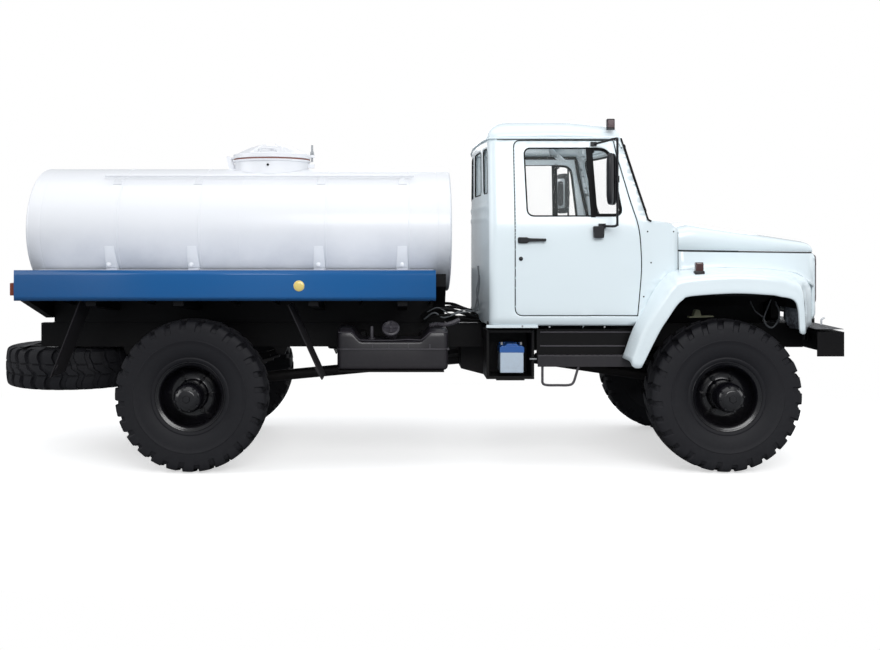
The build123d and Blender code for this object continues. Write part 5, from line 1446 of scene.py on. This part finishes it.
def skirt_channel():
    """The folded skirt: a channel (y, z) whose bends are rounded, carried along x from end to end."""
    section = smooth_path([(-1090, 1407), (-1140, 1407), (-1147, 1405), (-1150, 1398), (-1150, 1250),
                           (-1147, 1242), (-1140, 1239.5), (-1090, 1239.5)], 3)
    ends = [np.column_stack([np.full(len(section), x), section]) for x in (DECK_REAR, DECK_FRONT)]
    return grid(np.stack(ends))


piece("skirt_folds", both_sides(skirt_channel()), skirt_paint, ["side_skirts"], angle=50, wall=4)
deck_board = box((DECK_REAR, -1152, 1408), (DECK_FRONT, -524, 1421))
piece("deck_boards", both_sides(deck_board), tank_paint, ["deck_plates"], bevel=1.5)
bearer = [(-1120, 1238), (1120, 1238), (1120, 1180), (440, 1110), (-440, 1110), (-1120, 1180)]
rear_beam = [(-1120, 1238), (1120, 1238), (450, 1055), (-450, 1055)]
front_beam = [(-640, 1391), (-640, 1296), (-470, 1112), (470, 1112), (640, 1296), (640, 1391), (300, 1296),
              (-300, 1296)]
beams = [slab(bearer, x - 35, x + 35, "yz") for x in SADDLES]
beams.append(slab(rear_beam, DECK_REAR, -1141, "yz"))
beams.append(slab(front_beam, 1737, 1814, "yz"))
beams += [box((-1139, side * 397 - 40, 1016), (1813, side * 397 + 40, 1203)) for side in (-1, 1)]
for side in (-1, 1):
    gusset = [(side * 440, 1204), (side * 1080, 1236), (side * 1080, 1226), (side * 440, 1150)]
    beams += [slab(gusset, x - 4, x + 4, "yz") for x in (-980, -380, 260, 560, 1180, 1700)]
piece("deck_beams", joined(*beams), chassis_paint, ["deck_frame"], bevel=2)

# ------------------------------------------------------------------ fuel tanks, steps, battery
tank_section = rounded([(-952, 712), (-562, 712), (-562, 1012), (-952, 1012)], [36, 36, 62, 62], 6)


def fuel_tank():
    """A pressed tank: its section shrinks over the last few millimetres at each end.

    Between two ramps its top is cut down to the filler's well: z = 862 + (z - 862) * (1 - 0.55 * well).
    """
    x = np.array([1028, 1034, 1046, 1064, 1120, 1140, 1160, 1182, 1200, 1300, 1420, 1540, 1616, 1634, 1656,
                  1678, 1699, 1780, 1798, 1811, 1817], float)
    share = np.interp(x, [1028, 1034, 1046, 1064, 1780, 1798, 1811, 1817],
                      [0.84, 0.92, 0.975, 1, 1, 0.975, 0.92, 0.84])
    well = np.interp(x, [1120, 1140, 1182, 1200, 1616, 1634, 1678, 1699],
                     [0, 0.12, 0.88, 1, 1, 0.88, 0.12, 0])
    middle = np.array([-757, 869.0])
    rings = middle + (tank_section[None] - middle) * share[:, None, None]
    high = np.clip(rings[:, :, 1] - 862, 0, None)
    rings[:, :, 1] -= 0.55 * well[:, None] * high
    points = np.concatenate([np.broadcast_to(x[:, None, None], rings.shape[:2] + (1,)), rings], axis=-1)
    return capped(points)


tank_flange = slab(rounded([(1022, -960), (1823, -960), (1823, -554), (1022, -554)], 60), 861, 870, "xy")
piece("fuel_tank_shells", both_sides(fuel_tank()), tank_enamel, ["fuel_tanks"], slot="chassis_paint",
      angle=40)
shelf_legs = [box((x - 20, -560, 702), (x + 20, -470, 960)) for x in (1200, 1650)]
tank_shelf = joined(box((1036, -957, 702), (1788, -560, 714)), *shelf_legs)
piece("fuel_tank_shelves", both_sides(tank_shelf), chassis_paint, bevel=1.5)
studs = [box((x - 4, -957, 869), (x + 4, -951, 900)) for x in (1279, 1396, 1533, 1687)]
studs.append(turned([(-952, 0), (-952, 9), (-962, 8), (-962, 0)], (1817, 0, 866), "y", 8))
piece("fuel_tank_flanges", both_sides(joined(tank_flange, *studs)), highlight_steel, slot="chassis_paint", bevel=1)
# The filler's cap is made upright round its own centre, then leans outward
cap_profile = [(-90, 0), (-90, 40), (-4, 40), (-4, 60), (0, 63), (20, 63), (25, 58), (27, 50), (24, 46),
               (24, 0)]
cap_knob = turned([(24, 0), (24, 15), (41, 13), (43, 0)], (0, 0, 0), "z", 16)
cap = joined(turned(cap_profile, (0, 0, 0), "z", 36), box((-52, -8, 24), (52, 8, 38)),
             box((-8, -46, 24), (8, 46, 34)), cap_knob)
sender = turned([(930, 0), (930, 26), (938, 26), (938, 12), (1012, 12), (1020, 9), (1022, 0)],
                (1272, -850, 0), "z", 16)
fuel_caps = both_sides(joined(rotated(cap, "x", radians(52), (1409, -884, 1000)), sender))
piece("fuel_caps", fuel_caps, highlight_steel, slot="chassis_paint", bevel=1, angle=40)
well_edge = smooth_path([(1034, -948, 984), (1119, -949, 984), (1140, -951, 974), (1182, -952, 936),
                         (1200, -952, 930), (1415, -953, 928), (1533, -952, 934), (1616, -952, 930),
                         (1634, -952, 937), (1678, -951, 974), (1699, -949, 984), (1811, -948, 983)], 4)
piece("fuel_tank_beads", both_sides(tube(well_edge, 3, 6)), highlight_steel, slot="chassis_paint")
ribbed_path = smooth_path([(1690, -846, 1024), (1740, -850, 1034), (1790, -840, 1030), (1850, -800, 1040),
                           (1900, -740, 1056)], 9)
ribbed_radius = np.where(np.arange(len(ribbed_path)) % 2, 13.0, 18.0)
piece("ribbed_hoses", both_sides(tube(ribbed_path, ribbed_radius, 10)), highlight_steel, slot="rubber")

step_parts = [slab([(2452, 823), (3066, 823), (3150, 1005), (2452, 1005)], -893, -880)]
tread = slab([(-790, 823), (-949, 823), (-955, 817), (-955, 740), (-949, 740), (-945, 812), (-790, 812)],
             2452, 3121, "yz")
piece("step_treads", both_sides(tread), tank_enamel, slot="chassis_paint", bevel=1.5)
step_ribs = [box((2476, -899, z - 5), (high, -892, z + 5)) for z, high in ((883, 3085), (982, 3128))]
step_ribs.append(box((2452, -956, 819), (3121, -950, 824)))
step_parts += [box((x - 25, -880, 935), (x + 25, -470, 985)) for x in (2540, 3040)]
step_parts += [box((2480 + 44 * number, -935, 822), (2500 + 44 * number, -905, 826)) for number in range(14)]
hoop = smooth_path([(2487, -943, 762), (2487, -943, 660), (2490, -943, 622), (2520, -943, 609),
                    (2600, -943, 608), (2672, -943, 609), (2706, -943, 626), (2728, -943, 690),
                    (2750, -943, 762)], 4)
piece("step_panels", both_sides(joined(*step_parts)), chassis_paint, ["side_steps"], bevel=1.5)
piece("step_ribs", both_sides(joined(*step_ribs)), highlight_steel, slot="chassis_paint", bevel=1.5)
piece("step_hoops", both_sides(tube(hoop, 9, 10)), highlight_steel, slot="chassis_paint")

tray = [box((2091, -928, 649), (2431, -602, 668)), box((2091, -928, 668), (2110, -602, 998)),
        box((2412, -928, 668), (2431, -602, 998)), box((2111, -640, 668), (2411, -602, 998)),
        box((2091, -600, 900), (2431, -470, 996)), box((2111, -926, 980), (2411, -641, 998)),
        box((2160, -928, 640), (2362, -902, 650))]
piece("battery_tray", joined(*tray), chassis_paint, ["battery_box"], bevel=2)
case = box((2190, -912, 691), (2357, -693, 845))
piece("battery_block", case, battery_case, ["battery"], bevel=6)
lid_blue = painted("battery_lid", srgb(44, 96, 170), srgb(90, 100, 120), 0.3, 0.15, 0.2, 0.5, 1.1)
battery_lid = [(2186, 836), (2361, 836), (2361, 872), (2348, 884), (2200, 884), (2186, 870)]
battery_top = [slab(battery_lid, -914, -691),
               slab([(2222, 882), (2326, 882), (2308, 899), (2240, 899)], -906, -700)]
battery_top += [turned([(889, 0), (889, 11), (897, 10), (898, 0)], (2204 + 28 * number, -760, 0), "z", 12)
                for number in range(6)]
piece("battery_cover", joined(*battery_top), lid_blue, slot="battery_case", bevel=3)
terminals = [turned([(889, 0), (889, 9), (908, 8), (909, 0)], (x, -870, 0), "z", 12) for x in (2204, 2342)]
terminals.append(tube([(2398, -931, 793), (2446, -931, 793)], 6, 10))
piece("battery_posts", joined(*terminals), zinc, slot="cast_iron")

# ------------------------------------------------------------------ mudguards
flaps = []
for (top_x, top_z), (low_x, low_z) in (((691, 1185), (929, 661)), ((-763, 1220), (-973, 675))):
    lean = np.sign(low_x - top_x)
    flap = [(top_x - 4, top_z), (top_x + 4, top_z), (low_x + 4, low_z + 2), (low_x - 4, low_z)]
    stay = [(low_x - 4, low_z), (low_x + 4, low_z + 2), (low_x - lean * 46, low_z + 96),
            (low_x - lean * 54, low_z + 84)]
    flaps += [slab(flap, -1068, -732), slab(stay, -1066, -1058)]
flap_rubber = painted("flap_rubber", srgb(34, 33, 38), DUST, 0.6, 0.08, 0.0, 0.4, 1.4, 0.3)
piece("mud_flaps", both_sides(joined(*flaps)), flap_rubber, ["mudguards"], slot="rubber", bevel=1.5)

# ------------------------------------------------------------------ inside the cab
def woven():
    """Seat cloth: a fine weave of two crossed waves, sewn channels across the cushion, and soft wear."""
    finish = Finish("seat_cloth", Specular_IOR_Level=0.2)
    across = finish.axis("y")
    warp = ((finish.axis("x") + finish.axis("z")) * 1900.0).sine()
    weft = (across * 1900.0).sine()
    channel = finish.between((across * 37.0).sine().absolute(), 0.0, 0.25)
    wear = finish.noise(7.0, 5.0, 0.6)
    shade = (warp * weft * 0.12 + wear * 0.5 + channel * 0.3).least(1.0)
    finish.drive(Base_Color=finish.blend(shade, srgb(38, 40, 48), srgb(88, 90, 100)))
    finish.drive(Roughness=wear * 0.15 + 0.78)
    return finish.bump(channel * 0.8 + warp * weft * 0.08, 4.0, 0.6).material


seat_cloth = woven()
CUSHION_RISE = 24
CUSHION_VOXEL = 16
CUSHION_PRESSURE = 4
CUSHION_FRAMES = 20


def coordinates(mesh):
    """A mesh's points, in metres of the frame."""
    values = np.zeros(len(mesh.vertices) * 3)
    mesh.vertices.foreach_get("co", values)
    return values.reshape(-1, 3)


def blown_up(obj):
    """A cushion's points after cloth under pressure has swollen: each moves no further than CUSHION_RISE."""
    rest = coordinates(obj.data)
    cloth = obj.modifiers.new("cloth", "CLOTH")
    cloth.settings.use_pressure = True
    cloth.settings.uniform_pressure_force = CUSHION_PRESSURE
    cloth.settings.effector_weights.gravity = 0
    for number in range(1, CUSHION_FRAMES + 1):
        bpy.context.scene.frame_set(number)
    move = coordinates(obj.evaluated_get(bpy.context.evaluated_depsgraph_get()).data) - rest
    length = np.linalg.norm(move, axis=1)[:, None]
    obj.modifiers.remove(cloth)
    bpy.context.scene.frame_set(1)
    return rest + move * np.minimum(1, CUSHION_RISE / 1000 / np.maximum(length, 1e-9))


def cushion(name, outline, low_y, high_y, replaced=()):
    """A padded cushion: a plain block cut into even quads and blown up as cloth."""
    points, faces = slab(outline, low_y, high_y)
    mesh = bpy.data.meshes.new(name)
    mesh.from_pydata(place(points).tolist(), [], faces)
    facing_out(mesh)
    start = shown(f"{name}_start", mesh)
    remesh = start.modifiers.new("remesh", "REMESH")
    remesh.mode = "VOXEL"
    remesh.voxel_size = CUSHION_VOXEL / 1000
    whole = bpy.data.meshes.new_from_object(start.evaluated_get(bpy.context.evaluated_depsgraph_get()))
    bpy.data.objects.remove(start)
    obj = shown(name, whole)
    whole.vertices.foreach_set("co", blown_up(obj).ravel())
    whole.update()
    whole.shade_smooth()
    rounding = obj.modifiers.new("rounding", "SUBSURF")
    rounding.levels = 1
    rounding.render_levels = 1
    whole.materials.clear()
    whole.materials.append(seat_cloth)
    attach(obj, "chassis")
    if replaced:
        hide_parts(*replaced)


SEAT = rounded([(2345, 1302), (2712, 1318), (2722, 1376), (2690, 1396), (2352, 1376)], 16, 4)
BACK = rounded([(2248, 1300), (2300, 1302), (2300, 1420), (2232, 1940), (2204, 1952), (2184, 1930)], 12, 4)
for seat_name, low_y, high_y in (("driver", 198, 652), ("passenger", -772, 12)):
    cushion(f"{seat_name}_seat", SEAT, low_y, high_y, ["seats"] if seat_name == "driver" else [])
    cushion(f"{seat_name}_back", BACK, low_y, high_y)
seat_pans = joined(*[slab([(2240, 1252), (2728, 1291), (2720, 1300), (2330, 1280), (2238, 1284)], low, high)
                     for low, high in ((190, 660), (-780, 20))])
piece("seat_pans", seat_pans, black_plastic, bevel=3)

COLUMN_HUB = np.array([2830.0, 420.0, 1700.0])
COLUMN_LEAN = radians(30)
column_across = np.array([0, 1, 0])
column_down = np.array([-np.cos(COLUMN_LEAN), 0, -np.sin(COLUMN_LEAN)])
column_out = np.array([-np.sin(COLUMN_LEAN), 0, np.cos(COLUMN_LEAN)])


def round_column(turn, radius, along=0):
    """Points about the steering column: hub + along * out + radius * (cos * across + sin * down)."""
    outward = np.cos(turn) * column_across + np.sin(turn) * column_down
    return COLUMN_HUB + along * column_out + radius * outward


around = np.linspace(0, 2 * np.pi, 64, endpoint=False)[:, None]
steering_parts = [tube(round_column(around, 203), 13, 12, closed=True)]
spoke_reach, spoke_drop = np.array([(30, 6), (110, 5), (196, 0)]).T[:, :, None]
for angle in np.radians([90, 210, 330]):
    steering_parts.append(tube(round_column(angle, spoke_reach, -spoke_drop), [15, 11, 9], 10))
boss = np.array([(-9, 0), (-9, 38), (-2, 44), (5, 42), (9, 30), (9, 0)])
boss_along, boss_radius = boss.T[:, None, :, None]
steering_parts.append(grid(round_column(around[:, None], boss_radius, boss_along), around=True))
piece("steering_ring", joined(*steering_parts), black_plastic, ["steering_wheel"], body="steering_wheel",
      angle=50)
panel_bits = joined(
    slab([(2958, 1606), (3014, 1694), (3008, 1698), (2950, 1610)], 250, 590),
    *[box((3040, y - 60, 1692), (3110, y + 60, 1704)) for y in (-500, -120)],
)
piece("dash_cowl", panel_bits, black_plastic, bevel=2)
gauge = turned([(0, 0), (0, 30), (-5, 31), (-6, 27), (-6, 0)], (2982, 0, 1652), "x", 20)
gauges = joined(*[moved(gauge, (0, y, 0)) for y in (330, 420, 510)])
piece("dash_gauges", gauges, grille_brown, slot="black_plastic")

# ------------------------------------------------------------------ hoses behind the cab, screws, bolts
def bundle(*runs):
    """Hoses or cables side by side: each run is its radius and the corners that its smooth path joins."""
    return joined(*[tube(smooth_path(corners, 5), radius, 8) for radius, corners in runs])


black_hoses = bundle(
    (13, [(1640, -470, 1060), (1700, -500, 1108), (1790, -540, 1128), (1900, -520, 1108), (2010, -480, 1070),
          (2080, -430, 1040)]),
    (11, [(1650, -430, 1040), (1740, -470, 1092), (1860, -480, 1112), (1960, -440, 1090),
          (2070, -400, 1060)]),
    (9, [(1640, -520, 1030), (1720, -560, 1070), (1830, -570, 1084), (1930, -540, 1060), (2030, -500, 1040),
         (2085, -470, 1034)]),
    (12, [(1690, -360, 1050), (1790, -380, 1120), (1900, -370, 1130), (2010, -360, 1100),
          (2075, -340, 1060)]),
    (12, [(1700, 380, 1050), (1800, 400, 1110), (1910, 390, 1112), (2000, 370, 1080), (2075, 350, 1056)]),
)
grey_cables = bundle(
    (6, [(1655, -540, 1050), (1730, -575, 1100), (1800, -560, 1062), (1900, -580, 1096), (1990, -590, 1110),
         (2056, -600, 1120)]),
    (5, [(1680, -500, 1100), (1760, -540, 1136), (1850, -560, 1090), (1950, -560, 1120), (2040, -560, 1106)]),
    (6, [(2040, -640, 1128), (2052, -650, 1180), (2040, -655, 1260), (2056, -650, 1360), (2050, -640, 1450)]),
    (5, [(2030, -600, 1110), (2044, -620, 1200), (2060, -630, 1300), (2062, -620, 1380)]),
)
piece("black_hoses", black_hoses, rubber)
piece("grey_cables", grey_cables, hose_grey, slot="rubber")

screw = turned([(0.5, 0), (0.5, 6), (-2, 5), (-2.5, 0)], (0, 0, 0), "y", 10)
screws = joined(*[moved(screw, (x, -half_width(x, z), z))
                  for x, z in ((3224, 1700), (3418, 1700), (3250, 1480), (3196, 1240))])
piece("cowl_screws", both_sides(screws), black_plastic)
sill_bolt = turned([(0, 0), (0, 7), (-5, 7), (-5, 0)], (0, 0, 0), "y", 6)
sill_places = ((2340, -984, 1030), (2532, -982, 1026), (2921, -982, 1026))
sill_bolts = joined(*[moved(sill_bolt, at) for at in sill_places])
piece("sill_bolts", both_sides(sill_bolts), zinc, slot="cast_iron")

# ------------------------------------------------------------------ plain parts with softened edges
for node_name, node_finish, node_bevel in (
    ("leaf_springs", cast_iron, 1),
    ("front_axle", cast_iron, 1.5),
    ("rear_axle", cast_iron, 1.5),
    ("knuckle_right", cast_iron, 1.5),
    ("knuckle_left", cast_iron, 1.5),
    ("tie_rod", chassis_paint, 1),
    ("engine", cast_iron, 5),
    ("driveline", cast_iron, 3),
    ("frame_rails", chassis_paint, 4),
    ("cross_members", chassis_paint, 3),
    ("radiator", chassis_paint, 2),
    ("exhaust", cast_iron, 1),
    ("front_bumper", chassis_paint, 4),
    ("seat_bases", black_plastic, 3),
    ("dashboard", black_plastic, 6),
):
    edged(node_name, node_finish, node_bevel)

# ------------------------------------------------------------------ studio
def surround():
    """A white surround for the eye, and a soft cool one that lights the truck."""
    world = bpy.data.worlds.new("studio")
    bpy.context.scene.world = world
    world.use_nodes = True
    nodes, links = world.node_tree.nodes, world.node_tree.links
    nodes.clear()
    output = nodes.new("ShaderNodeOutputWorld")
    choose = nodes.new("ShaderNodeMixShader")
    rays = nodes.new("ShaderNodeLightPath")
    links.new(rays.outputs["Is Camera Ray"], choose.inputs[0])
    for socket, colour, strength in ((1, (0.93, 0.96, 1.0, 1), 0.46), (2, (1, 1, 1, 1), 1.0)):
        backdrop = nodes.new("ShaderNodeBackground")
        backdrop.inputs["Color"].default_value = colour
        backdrop.inputs["Strength"].default_value = strength
        links.new(backdrop.outputs[0], choose.inputs[socket])
    links.new(choose.outputs[0], output.inputs["Surface"])


def floor_finish():
    """A pale floor with a glow, which fades to plain white by the length of (0.16 x, 0.26 y).

    Only the eye sees it so; light that bounces meets a dim grey.
    """
    finish = Finish("floor", Base_Color=(0.82, 0.82, 0.82, 1), Roughness=0.9, Specular_IOR_Level=0.1,
                    Emission_Color=(1, 1, 1, 1))
    pale = Signal(finish, finish.shader.outputs[0])
    glow = finish.node("ShaderNodeEmission", {}, {"Strength": 0.55})
    lit = finish.node("ShaderNodeAddShader", {}, {0: pale, 1: glow})
    white = finish.node("ShaderNodeEmission", {}, {})
    squeezed = finish.stretched(0.16, 0.26, 0.0)
    distance = finish.node("ShaderNodeVectorMath", {"operation": "LENGTH"}, {0: squeezed}, "Value")
    far = finish.node("ShaderNodeMapRange", {}, {"Value": distance, "From Min": 0.62, "From Max": 1.0})
    seen = finish.node("ShaderNodeMixShader", {}, {0: far, 1: lit, 2: white})
    dim = finish.node("ShaderNodeBsdfDiffuse", {}, {"Color": (0.3, 0.31, 0.32, 1)})
    by_eye = finish.node("ShaderNodeLightPath", {}, {}, "Is Camera Ray")
    choice = finish.node("ShaderNodeMixShader", {}, {0: by_eye, 1: dim, 2: seen})
    finish.tree.links.new(choice.socket, finish.tree.nodes["Material Output"].inputs["Surface"])
    return finish.material


surround()
FLOOR_REACH = 60.0
floor_mesh = bpy.data.meshes.new("floor")
floor_mesh.from_pydata([(-FLOOR_REACH, -FLOOR_REACH, 0), (FLOOR_REACH, -FLOOR_REACH, 0),
                        (FLOOR_REACH, FLOOR_REACH, 0), (-FLOOR_REACH, FLOOR_REACH, 0)], [], [(0, 1, 2, 3)])
floor_mesh.materials.append(floor_finish())
shown("floor", floor_mesh)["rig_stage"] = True

# A lamp is its name, place in metres, turn in degrees, size in metres and power in watts.
for lamp_name, lamp_place, lamp_turn, lamp_size, lamp_power in (
    ("overhead", (0, -1.5, 8.5), (0, 0, 0), (12, 8), 266),
    ("side_key", (2.2, -9.5, 5.6), (58, 0, 0), (8, 4), 570),
    ("cab_glow", (1.1, 0.0, 1.75), (180, 0, 0), (0.7, 1.2), 5),
    ("far_side", (2.0, 9.5, 5.0), (-62, 0, 0), (9, 4), 200),
    ("front_fill", (9.0, 0.0, 4.0), (0, 70, 0), (5, 5), 100),
    ("rear_fill", (-9.0, -2.0, 4.0), (0, -70, 0), (5, 5), 170),
):
    light = bpy.data.lights.new(lamp_name, "AREA")
    light.shape = "RECTANGLE"
    light.size, light.size_y = lamp_size
    light.energy = lamp_power
    lamp = shown(lamp_name, light)
    lamp.location = lamp_place
    lamp.rotation_euler = np.radians(lamp_turn)

camera_data = bpy.data.cameras.new("camera")
camera = shown("camera", camera_data)
CAMERA_X = 1463
CAMERA_DISTANCE = 8855
CAMERA_HEIGHT = 1626
camera.location = place([(CAMERA_X, -CAMERA_DISTANCE, CAMERA_HEIGHT)])[0]
camera.rotation_euler = (radians(90), 0, 0)
camera_data.lens = 45.53
camera_data.sensor_width = 36
camera_data.sensor_fit = "HORIZONTAL"
camera_data.shift_x = 0.0473
camera_data.shift_y = -0.0943
bpy.context.scene.camera = camera
bpy.context.scene.view_settings.view_transform = "Standard"

low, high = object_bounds()
